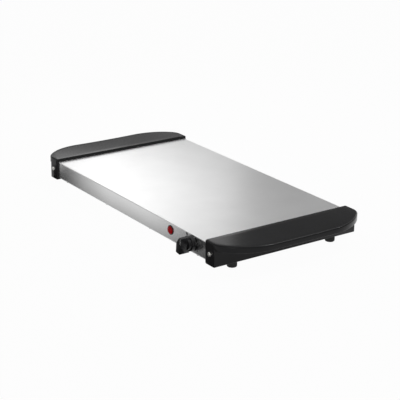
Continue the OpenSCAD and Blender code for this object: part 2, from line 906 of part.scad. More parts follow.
// The bar's section is widest at its ridge. In front, the pointing end is cut to a narrow edge
module knob_bar() {
    ridge_up = 3;
    heel_cut = 2;
    bevel = 2.6;
    edge_t = 1.6;
    seat = 1;
    bar_l = knob_l - collar_l + seat;
    ridge = [[-bar_t / 2, ridge_up], [bar_t / 2, ridge_up]];
    translate([0, 0, collar_l - seat])
        hull() {
            linear_extrude(bar_l - bevel)
                polygon(concat(ridge, [[point_t / 2, point_reach], [-point_t / 2, point_reach]]));
            linear_extrude(bar_l - heel_cut)
                polygon(concat(ridge, [[heel_t / 2, -heel_reach], [-heel_t / 2, -heel_reach]]));
            linear_extrude(bar_l)
                polygon([[-edge_t / 2, point_reach], ridge[0],
                    [-heel_t / 2, heel_cut - heel_reach], [heel_t / 2, heel_cut - heel_reach],
                    ridge[1], [edge_t / 2, point_reach]]);
        }
}

module knob() color(BLACK)
    at_knob() {
        nut_room = panel_nut_af / cos(30) + 1.5;
        room_past = 0.8;
        foot_l = 1.5;
        hub_draft = 0.5;
        hub_end = collar_l + hub_l;
        bore_l = knob_back - shaft_out + 1;
        flat_x = shaft_d / 2 - flat_depth + clip_t + 2 * run_gap;
        difference() {
            union() {
                rotate_extrude()
                    polygon([[0, 0], [knob_d / 2, 0], [knob_d / 2, foot_l],
                        [collar_d / 2, collar_l], [hub_d / 2, collar_l],
                        [hub_d / 2 - hub_draft, hub_end], [0, hub_end]]);
                knob_bar();
            }
            translate([0, 0, -over])
                cylinder(d = nut_room, h = over + panel_nut_t - knob_gap + room_past);
            translate([0, 0, -over])
                cylinder(d = thread_d + 1, h = over - half_w - bushing_out - knob_gap + room_past);
            intersection() {
                translate([0, 0, -over])
                    cylinder(d = shaft_d + 2 * run_gap, h = bore_l + over);
                translate([-shaft_d, -shaft_d, -2 * over])
                    cube([shaft_d + flat_x, 2 * shaft_d, bore_l + 3 * over]);
            }
        }
    }

module knob_clip() color(NICKEL)
    at_knob() {
        clip_x = shaft_d / 2 - flat_depth + run_gap;
        clip_w = shaft_d / 2;
        clip_l = flat_l - 4;
        translate([clip_x, -clip_w / 2, knob_back - shaft_out - clip_l])
            cube([clip_t, clip_w, clip_l - 1]);
    }

// ---------- pilot light ----------

// Local frame of the light: +Z points out of the skirt, from its outer face
module at_lamp() {
    translate([lamp_x, -half_w, -lamp_drop])
        rotate([90, 0, 0])
            children();
}

module sleeve(d, bore, z0, z1) {
    translate([0, 0, z0])
        difference() {
            cylinder(d = d, h = z1 - z0);
            translate([0, 0, -over])
                cylinder(d = bore, h = z1 - z0 + 2 * over);
        }
}

module pilot_gasket() color(BLACK)
    at_lamp()
        sleeve(lens_d + 2.4, barrel_d + hole_gap, nip, gasket_t);

module pilot_lens() color(RED)
    at_lamp() {
        base_z = gasket_t + nip;
        dome_r = (pow(lens_d / 2, 2) + dome_h * dome_h) / (2 * dome_h);
        difference() {
            union() {
                translate([0, 0, base_z])
                    cylinder(d = lens_d, h = flange_t);
                translate([0, 0, -barrel_l])
                    cylinder(d = barrel_d, h = barrel_l + base_z + nip);
                intersection() {
                    translate([0, 0, base_z + flange_t + dome_h - dome_r])
                        sphere(dome_r);
                    translate([0, 0, base_z + flange_t - nip])
                        cylinder(d = lens_d, h = dome_h + over);
                }
            }
            translate([0, 0, -barrel_l - over])
                cylinder(d = bulb_d + 2 * soft_gap, h = barrel_l + over + flange_t);
        }
    }

module pilot_nut() color(BLACK)
    at_lamp()
        sleeve(barrel_d + 5, barrel_d + 2 * run_gap, -sheet_t - nip - 3, -sheet_t - nip);

module pilot_bulb() color([0.95, 0.75, 0.55])
    at_lamp()
        translate([0, 0, -barrel_l + 1]) {
            cylinder(d = bulb_d, h = barrel_l - 1 - bulb_d / 2);
            translate([0, 0, barrel_l - 1 - bulb_d / 2])
                sphere(d = bulb_d);
        }

module pilot_plug() color(BLACK)
    at_lamp()
        translate([0, 0, -barrel_l - nip - plug_l]) {
            cylinder(d = barrel_d, h = plug_l);
            translate([0, 0, plug_l])
                cylinder(d = bulb_d, h = 1 - nip);
        }

// ---------- cord entry and wiring bay ----------

// Local frame of the gland: +Z points out of the rear skirt, from its outer face
module at_gland() {
    translate([gland_x, half_w, -gland_drop])
        rotate([-90, 0, 0])
            children();
}

module cord_gland() color(BLACK)
    at_gland()
        difference() {
            union() {
                translate([0, 0, nip])
                    cylinder(d = neck_d + 6, h = 3);
                translate([0, 0, nip])
                    cylinder(d1 = neck_d + 4, d2 = gland_bore_d + 4, h = gland_head_l);
                translate([0, 0, -gland_in_l])
                    cylinder(d = neck_d, h = gland_in_l + 1);
            }
            translate([0, 0, -gland_in_l - over])
                cylinder(d = gland_bore_d, h = gland_in_l + gland_head_l + 3 * over);
        }

module gland_nut() color(BLACK)
    at_gland()
        translate([0, 0, -sheet_t - nip - 3])
            difference() {
                hex_rod(neck_d + 5, 3);
                translate([0, 0, -over])
                    cylinder(d = neck_d + 2 * run_gap, h = 3 + 2 * over);
            }

module at_poles() {
    for (i = [-1 : 1])
        translate([bay_x + i * pole_pitch, 0, pole_z])
            children();
}

module at_pole_screws() {
    for (i = [-1 : 1], sy = [-1, 1])
        translate([bay_x + i * pole_pitch, block_y + sy * block_l_y / 4, 0])
            children();
}

module at_block_screws() {
    for (sx = [-1, 1])
        translate([bay_x + sx * pole_pitch / 2, block_y, pan_bottom])
            children();
}

module terminal_block() color(CERAMIC) {
    top = pan_floor + block_h_z;
    difference() {
        span([bay_x - block_w_x / 2, block_y - block_l_y / 2, pan_floor],
            [bay_x + block_w_x / 2, block_y + block_l_y / 2, top]);
        at_poles()
            rod_y(pole_bore, block_y - block_l_y / 2 - over, block_y + block_l_y / 2 + over);
        at_pole_screws()
            translate([0, 0, pole_z])
                cylinder(d = insert_bore + 0.6, h = block_h_z);
        at_block_screws() {
            cylinder(d = base_screw_d + hole_gap, h = 2 * block_h_z);
            translate([0, 0, pan_t + block_h_z / 2])
                cylinder(d = 2 * base_screw_d + hole_gap, h = block_h_z);
        }
    }
}

module terminal_inserts() color(BRASS)
    difference() {
        at_poles()
            ring_y(pole_bore - 2 * run_gap, insert_bore, block_y - block_l_y / 2 + 1,
                block_y + block_l_y / 2 - 1);
        at_pole_screws()
            translate([0, 0, pole_z])
                cylinder(d = insert_bore + 0.2, h = pole_bore);
    }

module terminal_screws() color(NICKEL)
    at_pole_screws()
        translate([0, 0, pole_z + lead_d / 2 + run_gap])
            difference() {
                cylinder(d = insert_bore, h = block_h_z / 2 - 3);
                translate([-insert_bore, -0.3, block_h_z / 2 - 4])
                    cube([2 * insert_bore, 0.6, 2]);
            }

module block_screws() color(NICKEL)
    at_block_screws()
        translate([0, 0, pan_t + seat_gap + block_h_z / 2 + nip])
            pan_screw(base_screw_d, 2 * base_screw_d, 0.6 * base_screw_d, block_h_z / 2 + 2);

module thermal_fuse() color(NICKEL)
    translate([fuse_x, 0, fuse_z]) {
        rod_y(fuse_d, fuse_y - fuse_l / 2, fuse_y + fuse_l / 2);
        rod_y(1, fuse_y - fuse_l, fuse_y + fuse_l);
    }

// An omega strap spot welded under the heating surface
module fuse_clip() color(ZINC)
    translate([fuse_x, fuse_y, fuse_z])
        along_y(8)
            difference() {
                r0 = fuse_d / 2 + run_gap;
                r1 = r0 + clip_t;
                rise = under_plate - nip - fuse_z;
                union() {
                    circle(r1);
                    translate([-r1, 0])
                        square([2 * r1, rise]);
                    translate([-r1 - 4, rise - clip_t])
                        square([2 * r1 + 8, clip_t]);
                }
                circle(r0);
                translate([-r0, 0])
                    square([2 * r0, rise + over]);
            }

module earth_stud() color(NICKEL)
    translate([bay_x, earth_y, earth_z])
        cylinder(d = stud_d, h = under_plate - nip - earth_z);

module earth_nut() color(BRASS)
    translate([bay_x, earth_y, ring_z - nip - nut_h])
        difference() {
            hex_rod(nut_af, nut_h);
            translate([0, 0, -over])
                cylinder(d = stud_d + 2 * run_gap, h = nut_h + 2 * over);
        }

// ---------- internal wiring ----------

// Push-on tabs at the blades and pins, and the ring at the earth stud
module lead_tabs() color(BRASS) {
    for (p = [bimetal_tab, leaf_tab])
        span(p - [0, tab_h / 2, tab_w / 2], p + [tab_l, tab_h / 2, tab_w / 2]);
    for (p = [live_pin_tab, neutral_pin_tab])
        span(p - [tab_l, tab_w / 2, tab_h / 2], p + [0, tab_w / 2, tab_h / 2]);
    translate([bay_x, earth_y, ring_z])
        difference() {
            cylinder(d = 2 * stud_d + 2, h = 0.8);
            translate([0, 0, -over])
                cylinder(d = stud_d + hole_gap, h = 3 * over);
        }
    span([bay_x + stud_d + 0.6, earth_y - 2, ring_z - 2], [earth_tab.x, earth_y + 2, ring_z + 0.8]);
}

function unit(v) = v / norm(v);

// A point on the smooth curve through four neighbouring points of a route
function between(a, b, c, d, t) = 0.5 * (2 * b + (c - a) * t
    + (2 * a - 5 * b + 4 * c - d) * t * t + (3 * b - a - 3 * c + d) * t * t * t);

function smooth(route, steps = 4) = let (last = len(route) - 1) concat(
    [for (i = [0 : last - 1], k = [0 : steps - 1])
        between(route[max(i - 1, 0)], route[i], route[i + 1], route[min(i + 2, last)], k / steps)],
    [route[last]]);

function ring_at(path, i, d, sides) =
    let (last = len(path) - 1)
    let (ahead = unit(path[min(i + 1, last)] - path[max(i - 1, 0)]))
    let (side = unit(cross(ahead, [0, 0, 1])))
    let (rise = cross(side, ahead))
    [for (k = [0 : sides - 1])
        path[i] + d / 2 * (cos(360 * k / sides) * side + sin(360 * k / sides) * rise)];

// A round lead swept along a route
module lead(route, d, sides = 8) {
    path = smooth(route);
    last = len(path) - 1;
    points = [for (i = [0 : last], p = ring_at(path, i, d, sides)) p];
    walls = [for (i = [0 : last - 1], k = [0 : sides - 1], half = [0, 1])
        let (a = i * sides + k, b = i * sides + (k + 1) % sides)
            half == 0 ? [a, b, b + sides] : [a, b + sides, a + sides]];
    start = [for (k = [1 : sides - 2]) [0, k + 1, k]];
    end = [for (k = [1 : sides - 2]) last * sides * [1, 1, 1] + [0, k, k + 1]];
    polyhedron(points, concat(start, walls, end), convexity = 4);
}

module live_lead() color([0.55, 0.30, 0.16])
    lead([[bay_x - pole_pitch, pole_y + 6, pole_z], [bay_x - pole_pitch, pole_y, pole_z],
        [bay_x - pole_pitch, pole_y - 9, pole_z - 1], [bay_x - pole_pitch, 30, wire_z],
        [bay_x - pole_pitch, -70, wire_z],
        [bay_x - 16, zone_y0 - 4, wire_z], [knob_x - 20, zone_y0 - 11, wire_z + 3],
        bimetal_tab + [-4, 12, -5], bimetal_tab + [-13, 6, -1], bimetal_tab + [-8, 0, 0],
        bimetal_tab - [lead_gap, 0, 0]], lead_d);

module switched_lead() color([0.12, 0.12, 0.14])
    lead([leaf_tab - [lead_gap, 0, 0], leaf_tab - [7, 0, 0], leaf_tab - [11, 2, 5],
        [leaf_tab.x - 6, front_run_y, wire_z + 2], [leaf_tab.x + 6, front_run_y, wire_z - 1],
        [knob_x, front_run_y, wire_z - 1], [bay_x - 8, front_run_y, wire_z],
        [bay_x + 3, front_run_y + 5, wire_z + 6], [bay_x + 9, front_run_y + 22, wire_z + 6],
        [bay_x + 11, -60, wire_z + 10], [bay_x + 10, fuse_end_y + 2, -14],
        [bay_x + 4, fuse_end_y + 14, -6], [fuse_x + 2, fuse_end_y + 12, fuse_z - 1],
        [fuse_x, fuse_end_y + 5, fuse_z],
        [fuse_x, fuse_end_y + lead_gap, fuse_z]], lead_d);

module fuse_lead() color([0.12, 0.12, 0.14])
    lead([[fuse_x, fuse_y - fuse_l - lead_gap, fuse_z], [fuse_x, fuse_y - fuse_l - 5, fuse_z],
        live_pin_tab + [5, 10, 2], live_pin_tab + [11, 5, 1], live_pin_tab + [7, 0, 0],
        live_pin_tab + [lead_gap, 0, 0]], lead_d);

module neutral_lead() color([0.20, 0.30, 0.62])
    lead([[bay_x, pole_y + 6, pole_z], [bay_x, pole_y, pole_z], [bay_x + 3, pole_y - 10, pole_z + 6],
        [bay_x + 9, pole_y - 8, pole_z + 12], neutral_pin_tab + [12, -5, -2],
        neutral_pin_tab + [8, 0, 0], neutral_pin_tab + [lead_gap, 0, 0]], lead_d);

module earth_lead() color([0.35, 0.62, 0.20])
    lead([[bay_x + pole_pitch, pole_y + 6, pole_z], [bay_x + pole_pitch, pole_y, pole_z],
        [bay_x + pole_pitch + 4, pole_y - 10, pole_z + 6], [earth_tab.x + 9, earth_y + 10, -9],
        [earth_tab.x + 7, earth_y + 1, earth_tab.z - 0.5], earth_tab + [lead_gap, 0, 0]], lead_d);

module lamp_leads() color([0.86, 0.84, 0.80]) {
    lamp_d = 1.6;
    out_y = -half_w + barrel_l + plug_l + nip + lead_gap;
    lead([[lamp_x + 2.5, out_y, -lamp_drop], [lamp_x + 2.5, out_y + 6, -lamp_drop - 1],
        leaf_tab + [-14, 16, -5], leaf_tab + [-10, 9, -9], leaf_tab + [-9, 2, -6],
        leaf_tab + [-6, 0, -2.8], leaf_tab + [-lead_gap, 0, -2.6]], lamp_d);
    lead([[lamp_x - 2.5, out_y, -lamp_drop], [lamp_x - 2.5, out_y + 7, -lamp_drop],
        [lamp_x + 5, zone_y0 - 5, -12], [knob_x - 30, zone_y0 - 4, -10],
        [knob_x, zone_y0 - 4, -11], [bay_x + 1, zone_y0 + 6, -14], [bay_x + 4, -40, -18],
        [bay_x + 3, 30, -16], [neutral_pin_tab.x - 2, neutral_pin_tab.y - 20, -10],
        neutral_pin_tab + [-4, -9, -1], neutral_pin_tab + [-4, -tab_w / 2 - lead_gap, 0]], lamp_d);
}

warming_plate();
base_pan();
left_end_bracket();
right_end_bracket();
left_handle();
right_handle();
front_left_foot();
rear_left_foot();
front_right_foot();
rear_right_foot();
handle_screws();
foot_screws();
base_screws();
heat_spreader();
heating_element();
element_bushes();
element_pins();
clamp_studs();
element_clamps();
clamp_nuts();
insulation_blanket();
heat_shield();
thermostat_bracket();
shaft_bushing();
bushing_nut();
stack_rings();
stack_rivet();
bimetal_blade();
leaf_terminal();
contact_leaf();
push_pin();
control_shaft();
knob();
knob_clip();
pilot_lens();
pilot_gasket();
pilot_nut();
pilot_bulb();
pilot_plug();
cord_gland();
gland_nut();
terminal_block();
terminal_inserts();
terminal_screws();
block_screws();
thermal_fuse();
fuse_clip();
earth_stud();
earth_nut();
live_lead();
switched_lead();
fuse_lead();
neutral_lead();
earth_lead();
lamp_leads();
lead_tabs();
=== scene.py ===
import json
import math

import bmesh
import bpy
from mathutils import Matrix, Vector


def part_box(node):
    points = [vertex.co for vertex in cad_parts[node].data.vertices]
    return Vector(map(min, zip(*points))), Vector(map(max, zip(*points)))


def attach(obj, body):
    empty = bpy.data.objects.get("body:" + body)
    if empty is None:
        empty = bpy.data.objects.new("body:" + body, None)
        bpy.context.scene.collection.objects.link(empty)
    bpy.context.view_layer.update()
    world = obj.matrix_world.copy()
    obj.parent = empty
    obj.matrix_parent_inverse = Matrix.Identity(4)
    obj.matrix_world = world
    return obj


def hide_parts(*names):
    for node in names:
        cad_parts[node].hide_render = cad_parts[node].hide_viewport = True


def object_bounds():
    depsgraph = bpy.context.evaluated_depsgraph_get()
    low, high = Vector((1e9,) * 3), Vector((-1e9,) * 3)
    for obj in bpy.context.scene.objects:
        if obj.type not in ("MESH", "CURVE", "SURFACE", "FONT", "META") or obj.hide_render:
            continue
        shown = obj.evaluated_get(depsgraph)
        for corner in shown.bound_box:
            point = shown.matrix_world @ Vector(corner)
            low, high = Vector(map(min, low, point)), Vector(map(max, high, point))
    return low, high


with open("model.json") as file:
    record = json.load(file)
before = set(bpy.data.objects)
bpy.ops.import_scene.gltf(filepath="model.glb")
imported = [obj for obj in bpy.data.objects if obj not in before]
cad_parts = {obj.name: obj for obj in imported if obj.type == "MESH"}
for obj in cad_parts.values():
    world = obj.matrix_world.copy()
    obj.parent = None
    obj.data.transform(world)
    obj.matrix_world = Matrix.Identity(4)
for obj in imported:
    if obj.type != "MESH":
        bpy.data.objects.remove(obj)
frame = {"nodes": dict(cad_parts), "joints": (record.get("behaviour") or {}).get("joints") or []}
nodes = frame["nodes"]
cad_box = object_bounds()
MM = 0.001


# ---------------------------------------------------------------- camera
# The camera stands 2.3 m from the tray, beyond its near right corner, and looks down at it by
# about 20 degrees. Its place follows from the tray's straight edges.
view_azimuth = math.radians(54.924)
view_elevation = math.radians(19.699)
view_roll = math.radians(0.808)
view_distance = 2312.8 * MM
view_aside = 10.527 * MM
view_rise = -29.946 * MM
focus_pixels = 1234.0
photo_pixels = 400
sensor_width = 36.0
far_limit = 50

level = math.cos(view_elevation)
back = Vector((math.sin(view_azimuth) * level, -math.cos(view_azimuth) * level,
               math.sin(view_elevation)))
flat_right = Vector((math.cos(view_azimuth), math.sin(view_azimuth), 0))
flat_up = back.cross(flat_right)
right = math.cos(view_roll) * flat_right + math.sin(view_roll) * flat_up
up = math.cos(view_roll) * flat_up - math.sin(view_roll) * flat_right

camera = bpy.data.objects.new("camera", bpy.data.cameras.new("camera"))
camera.data.sensor_width = sensor_width
camera.data.lens = focus_pixels / photo_pixels * sensor_width
camera.data.clip_end = far_limit
camera.matrix_world = Matrix((right, up, back)).transposed().to_4x4()
camera.location = back * view_distance + right * view_aside + up * view_rise
bpy.context.collection.objects.link(camera)
bpy.context.scene.camera = camera
bpy.context.scene.view_settings.view_transform = "Standard"


# ---------------------------------------------------------------- studio
# A white table stands in a white room, and keeps the tray's shadow. Grey cards stand round the
# tray and a graded card lies before it, seen only in its surfaces. The graded card carries painted
# shade: darker near the skirt and towards both ends, where the table's shade and the handles'
# shadows would lie. Small area lamps light it.
room_light = 0.28
table_white = 0.86
table_size = 12.0
seen_share = 0.97
mirrored_share = 0.80
card_distance = 3.2
card_height = 2.6
card_folds = 12
table_z = cad_box[0].z


def add(tree, kind, **values):
    """A new node, with its named sockets and settings filled in."""
    made = tree.nodes.new(kind)
    for name, value in values.items():
        socket = made.inputs.get(name.replace("_", " "))
        if socket is not None:
            socket.default_value = value
        else:
            setattr(made, name, value)
    return made


def join(tree, *pairs):
    """Links each pair of an output and an input."""
    for start, end in pairs:
        tree.links.new(start, end)


def any_of(tree, *sockets):
    """The largest of several sockets, which is 1 where any of them says yes."""
    result = sockets[0]
    for socket in sockets[1:]:
        step = add(tree, "ShaderNodeMath", operation="MAXIMUM")
        join(tree, (result, step.inputs[0]), (socket, step.inputs[1]))
        result = step.outputs[0]
    return result


def scaled(tree, socket, factor):
    """A socket's value times a fixed factor."""
    step = add(tree, "ShaderNodeMath", operation="MULTIPLY")
    step.inputs[1].default_value = factor
    tree.links.new(socket, step.inputs[0])
    return step.outputs[0]


def remap(tree, socket, source, target=(0, 1)):
    """Maps a socket's value from one span to another, and stops at its ends."""
    step = add(tree, "ShaderNodeMapRange", From_Min=source[0], From_Max=source[1],
               To_Min=target[0], To_Max=target[1])
    tree.links.new(socket, step.inputs["Value"])
    return step.outputs[0]


def emptied(owner):
    """The node tree of a material or world, with nothing in it."""
    owner.use_nodes = True
    owner.node_tree.nodes.clear()
    return owner.node_tree


def stage_mesh(name, low_row, high_row, material):
    """A strip of quads between two rows of points, as part of the studio."""
    count = len(low_row)
    mesh = bpy.data.meshes.new(name)
    mesh.from_pydata(low_row + high_row, [],
                     [(i, i + 1, count + i + 1, count + i) for i in range(count - 1)])
    mesh.materials.append(material)
    made = bpy.data.objects.new(name, mesh)
    bpy.context.collection.objects.link(made)
    return made


def hide_card(card):
    """Keeps a card out of the picture and the light, so that it shows in surfaces alone."""
    card.visible_camera = False
    card.visible_diffuse = False
    card.visible_shadow = False


def bent_card(name, azimuth_from, azimuth_to, grey):
    """A grey card that stands in an arc round the tray, between two angles in degrees."""
    paint = bpy.data.materials.new(name)
    tree = emptied(paint)
    glow = add(tree, "ShaderNodeEmission", Color=(1, 1, 1, 1), Strength=grey)
    out = add(tree, "ShaderNodeOutputMaterial")
    tree.links.new(glow.outputs[0], out.inputs[0])
    bends = [math.radians(azimuth_from + (azimuth_to - azimuth_from) * i / card_folds)
             for i in range(card_folds + 1)]
    foot = [Vector((math.cos(a) * card_distance, math.sin(a) * card_distance, table_z)) for a in bends]
    head = [p + Vector((0, 0, card_height)) for p in foot]
    hide_card(stage_mesh(name, foot, head, paint))


def front_card():
    """A graded card on the table before the front skirt, with its bands along the view. It carries
    painted shade: darker near the skirt and at both ends, where the handles' shadows lie.
    """
    front = -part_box("warming_plate")[1].y
    lift = 0.5 * MM
    slant = math.tan(view_azimuth)
    near_y, far_y = front - 5 * MM, front - 220 * MM
    left_x, right_x = -280 * MM, 360 * MM
    ramp_end_x = 250 * MM
    # Painted shadow along the card: near black at its left end and dark at its right, for the shadows and
    # reflections of the handles and the knob.
    shadow_greys = ((0.0, 0.02), (0.06, 0.10), (0.14, 0.32), (0.22, 0.62), (0.30, 0.80), (0.42, 0.95),
             (0.66, 0.90), (0.76, 0.76), (0.84, 0.54), (1.0, 0.15))
    # Painted shade across the card: it is dimmer close to the skirt, in place of the table's shade under
    # the tray.
    shade_y, clear_y, shade_grey = front - 15 * MM, front - 75 * MM, 0.45
    paint = bpy.data.materials.new("painted_shadow_ramp")
    tree = emptied(paint)
    place = add(tree, "ShaderNodeTexCoord")
    axes = add(tree, "ShaderNodeSeparateXYZ")
    shift = add(tree, "ShaderNodeMath", operation="MULTIPLY_ADD")
    shift.inputs[1].default_value = -slant
    ramp = add(tree, "ShaderNodeValToRGB")
    stops = ramp.color_ramp.elements
    for at, grey in shadow_greys[1:-1]:
        stops.new(at)
    for stop, (at, grey) in zip(stops, shadow_greys):
        stop.color = (grey, grey, grey, 1)
    glow = add(tree, "ShaderNodeEmission")
    out = add(tree, "ShaderNodeOutputMaterial")
    join(tree, (place.outputs["Object"], axes.inputs[0]), (axes.outputs["Y"], shift.inputs[0]),
         (axes.outputs["X"], shift.inputs[2]), (ramp.outputs[0], glow.inputs["Color"]),
         (glow.outputs[0], out.inputs[0]))
    across = remap(tree, shift.outputs[0], (left_x - slant * front, ramp_end_x - slant * front))
    outwards = remap(tree, axes.outputs["Y"], (shade_y, clear_y), (shade_grey, 1))
    join(tree, (across, ramp.inputs[0]), (outwards, glow.inputs["Strength"]))
    rows = [[(x + slant * (y - front), y, table_z + lift) for x in (left_x, right_x)]
            for y in (far_y, near_y)]
    made = stage_mesh("front_card", rows[0], rows[1], paint)
    hide_card(made)
    made.visible_transmission = False


def softbox(name, place, width, height, power):
    """A lamp that faces the tray, with its place and size in metres and its power in watts."""
    lamp = bpy.data.objects.new(name, bpy.data.lights.new(name, "AREA"))
    lamp.data.shape = "RECTANGLE"
    lamp.data.size = width
    lamp.data.size_y = height
    lamp.data.energy = power
    lamp.location = place
    lamp.rotation_euler = Vector(place).to_track_quat("Z", "Y").to_euler()
    lamp.visible_camera = False
    bpy.context.collection.objects.link(lamp)


room = bpy.data.worlds.new("white_room")
bpy.context.scene.world = room
tree = emptied(room)
rays = add(tree, "ShaderNodeLightPath")
shown = any_of(tree, rays.outputs["Is Camera Ray"], rays.outputs["Is Glossy Ray"],
               rays.outputs["Is Transmission Ray"])
dim = add(tree, "ShaderNodeBackground", Color=(1, 1, 1, 1), Strength=room_light)
white = add(tree, "ShaderNodeBackground", Color=(1, 1, 1, 1), Strength=1.0)
mix = add(tree, "ShaderNodeMixShader")
out = add(tree, "ShaderNodeOutputWorld")
join(tree, (shown, mix.inputs[0]), (dim.outputs[0], mix.inputs[1]), (white.outputs[0], mix.inputs[2]),
     (mix.outputs[0], out.inputs[0]))

table_top = bpy.data.materials.new("white_table")
tree = emptied(table_top)
rays = add(tree, "ShaderNodeLightPath")
mirrored = any_of(tree, rays.outputs["Is Glossy Ray"], rays.outputs["Is Transmission Ray"])
white_share = any_of(tree, scaled(tree, rays.outputs["Is Camera Ray"], seen_share),
                     scaled(tree, mirrored, mirrored_share))
glow = add(tree, "ShaderNodeEmission", Color=(1, 1, 1, 1), Strength=1.0)
matt = add(tree, "ShaderNodeBsdfDiffuse", Color=(table_white, table_white, table_white, 1))
mix = add(tree, "ShaderNodeMixShader")
out = add(tree, "ShaderNodeOutputMaterial")
join(tree, (white_share, mix.inputs[0]), (matt.outputs[0], mix.inputs[1]),
     (glow.outputs[0], mix.inputs[2]), (mix.outputs[0], out.inputs[0]))
half = table_size / 2
stage_mesh("table", [(-half, -half, table_z), (half, -half, table_z)],
           [(-half, half, table_z), (half, half, table_z)], table_top)

bent_card("rear_card", azimuth_from=122, azimuth_to=168, grey=0.23)
bent_card("front_room_card", azimuth_from=190, azimuth_to=456, grey=0.52)
front_card()
softbox("left_softbox", place=(-0.81, 0.42, 0.34), width=0.5, height=0.3, power=0.25)
for i, x in enumerate((-0.85, -0.62, -0.40)):
    softbox("low_softbox_%d" % i, place=(x, 0.18, 0.30), width=0.35, height=0.2, power=0.15)
softbox("rear_softbox", place=(0.72, 1.36, 1.39), width=0.18, height=0.12, power=1.5)
softbox("high_softbox", place=(0.32, 0.73, 1.27), width=0.3, height=0.06, power=3)
softbox("side_softbox", place=(1.54, -1.25, 0.21), width=0.15, height=0.1, power=2.5)


# ---------------------------------------------------------------- steel plate
# One stainless sheet, folded down at the front and rear into skirts and in again along their
# bottoms. Its finish is a fine satin grain, and its ends are held in the handles.
steel_dark, steel_grey, steel_light = ((grey, grey, grey) for grey in (0.765, 0.78, 0.80))
steel_rough = 0.38
steel_spread = 0.015
grain_wide = 0.7 * MM
grain_stretch = (60, 1, 1)
grain_deep = 0.002 * MM
cloud_wide = 60 * MM
skirt_skin = 0.5 * MM
skirt_smoother = -0.12


def new_finish(name, colour, roughness, metallic=0.0, **sockets):
    """A material on its own shader, with the values that are the same all over."""
    made = bpy.data.materials.new(name)
    made.use_nodes = True
    tree = made.node_tree
    shader = tree.nodes["Principled BSDF"]
    shader.inputs["Base Color"].default_value = (*colour, 1)
    shader.inputs["Roughness"].default_value = roughness
    shader.inputs["Metallic"].default_value = metallic
    for socket, value in sockets.items():
        shader.inputs[socket.replace("_", " ")].default_value = value
    return made, tree, shader


def grain(tree, size, stretch=(1, 1, 1), detail=3.0, kind="ShaderNodeTexNoise"):
    """A noise on the piece's own coordinates; size is the length of one feature in metres."""
    place = add(tree, "ShaderNodeTexCoord")
    scale = add(tree, "ShaderNodeMapping")
    scale.inputs["Scale"].default_value = [1 / (size * s) for s in stretch]
    noise = add(tree, kind, Scale=1.0)
    if "Detail" in noise.inputs:
        noise.inputs["Detail"].default_value = detail
    join(tree, (place.outputs["Object"], scale.inputs["Vector"]),
         (scale.outputs[0], noise.inputs["Vector"]))
    return noise.outputs[0]


def spread(tree, socket, low, high):
    """Maps a noise, whose values lie mostly in its middle half, to low..high."""
    return remap(tree, socket, (0.25, 0.75), (low, high))


def tint(tree, shader, socket, dark, light):
    """Base colour that runs between two tones with a noise."""
    blend = add(tree, "ShaderNodeMix", data_type="RGBA")
    factor, first, second = blend.inputs[0], blend.inputs[6], blend.inputs[7]
    first.default_value = (*dark, 1)
    second.default_value = (*light, 1)
    join(tree, (spread(tree, socket, 0, 1), factor), (blend.outputs[2], shader.inputs["Base Color"]))


def polish(tree, shader, socket, low, high):
    """Roughness that runs between two values with a noise."""
    tree.links.new(spread(tree, socket, low, high), shader.inputs["Roughness"])


def relief(tree, shader, socket, depth, strength=1.0):
    """Bump of a real depth in metres."""
    bump = add(tree, "ShaderNodeBump", Strength=strength, Distance=depth)
    join(tree, (socket, bump.inputs["Height"]), (bump.outputs[0], shader.inputs["Normal"]))


def dress(material, slot_name, *names):
    """Gives CAD nodes their finish."""
    for name in names:
        nodes[name].data.materials.clear()
        nodes[name].data.materials.append(material)


steel, tree, shader = new_finish("satin_steel", steel_grey, steel_rough, metallic=1.0)
lines = grain(tree, grain_wide, stretch=grain_stretch, detail=2)
tint(tree, shader, grain(tree, cloud_wide, detail=2), steel_dark, steel_light)
place = add(tree, "ShaderNodeTexCoord")
axes = add(tree, "ShaderNodeSeparateXYZ")
from_middle = add(tree, "ShaderNodeMath", operation="ABSOLUTE")
on_skirt = add(tree, "ShaderNodeMath", operation="GREATER_THAN")
on_skirt.inputs[1].default_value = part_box("warming_plate")[1].y - skirt_skin
gloss = add(tree, "ShaderNodeMath", operation="MULTIPLY_ADD")
gloss.inputs[1].default_value = skirt_smoother
uneven = spread(tree, lines, steel_rough - steel_spread, steel_rough + steel_spread)
join(tree, (place.outputs["Object"], axes.inputs[0]), (axes.outputs["Y"], from_middle.inputs[0]),
     (from_middle.outputs[0], on_skirt.inputs[0]), (on_skirt.outputs[0], gloss.inputs[0]),
     (uneven, gloss.inputs[2]), (gloss.outputs[0], shader.inputs["Roughness"]))
relief(tree, shader, lines, grain_deep)
dress(steel, "brushed_stainless", "warming_plate")


# ---------------------------------------------------------------- handles
# Each is one black moulding: a hollow block that takes the tray's end, and a broad grip whose
# top is slightly dished. The grip is ribbed underneath, and the cheeks are screwed to the tray.
handle_low, handle_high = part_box("right_handle")
inner_x = handle_low.x
reach = handle_high.x - handle_low.x
half_depth = handle_high.y
top_z = handle_high.z
block_low = handle_low.z
under_z = -7 * MM
wall = 3 * MM

corner_soft = 0.9 * MM
end_straight = 20.5 * MM
corner_r = 27 * MM
corner_turn = math.radians(42)
big_r = (reach - end_straight - corner_r * math.sin(corner_turn)) / (1 - math.sin(corner_turn))
corner_c = Vector((end_straight, half_depth - corner_r))
big_c = corner_c + (corner_r - big_r) * Vector((math.sin(corner_turn), math.cos(corner_turn)))
edge_r = 3 * MM
rim_r = 0.7 * MM
inner_share = 0.3
outer_fall = 2.87 * MM
end_lift = 3.35 * MM
dish_half = 150 * MM
row_limit = 139 * MM
rows_n, columns_n = 24, 7
side_steps, corner_steps, end_steps, soft_steps = 4, 14, 5, 3
rim_bends = (30, 60, 90)
edge_bends = range(0, 91, 10)

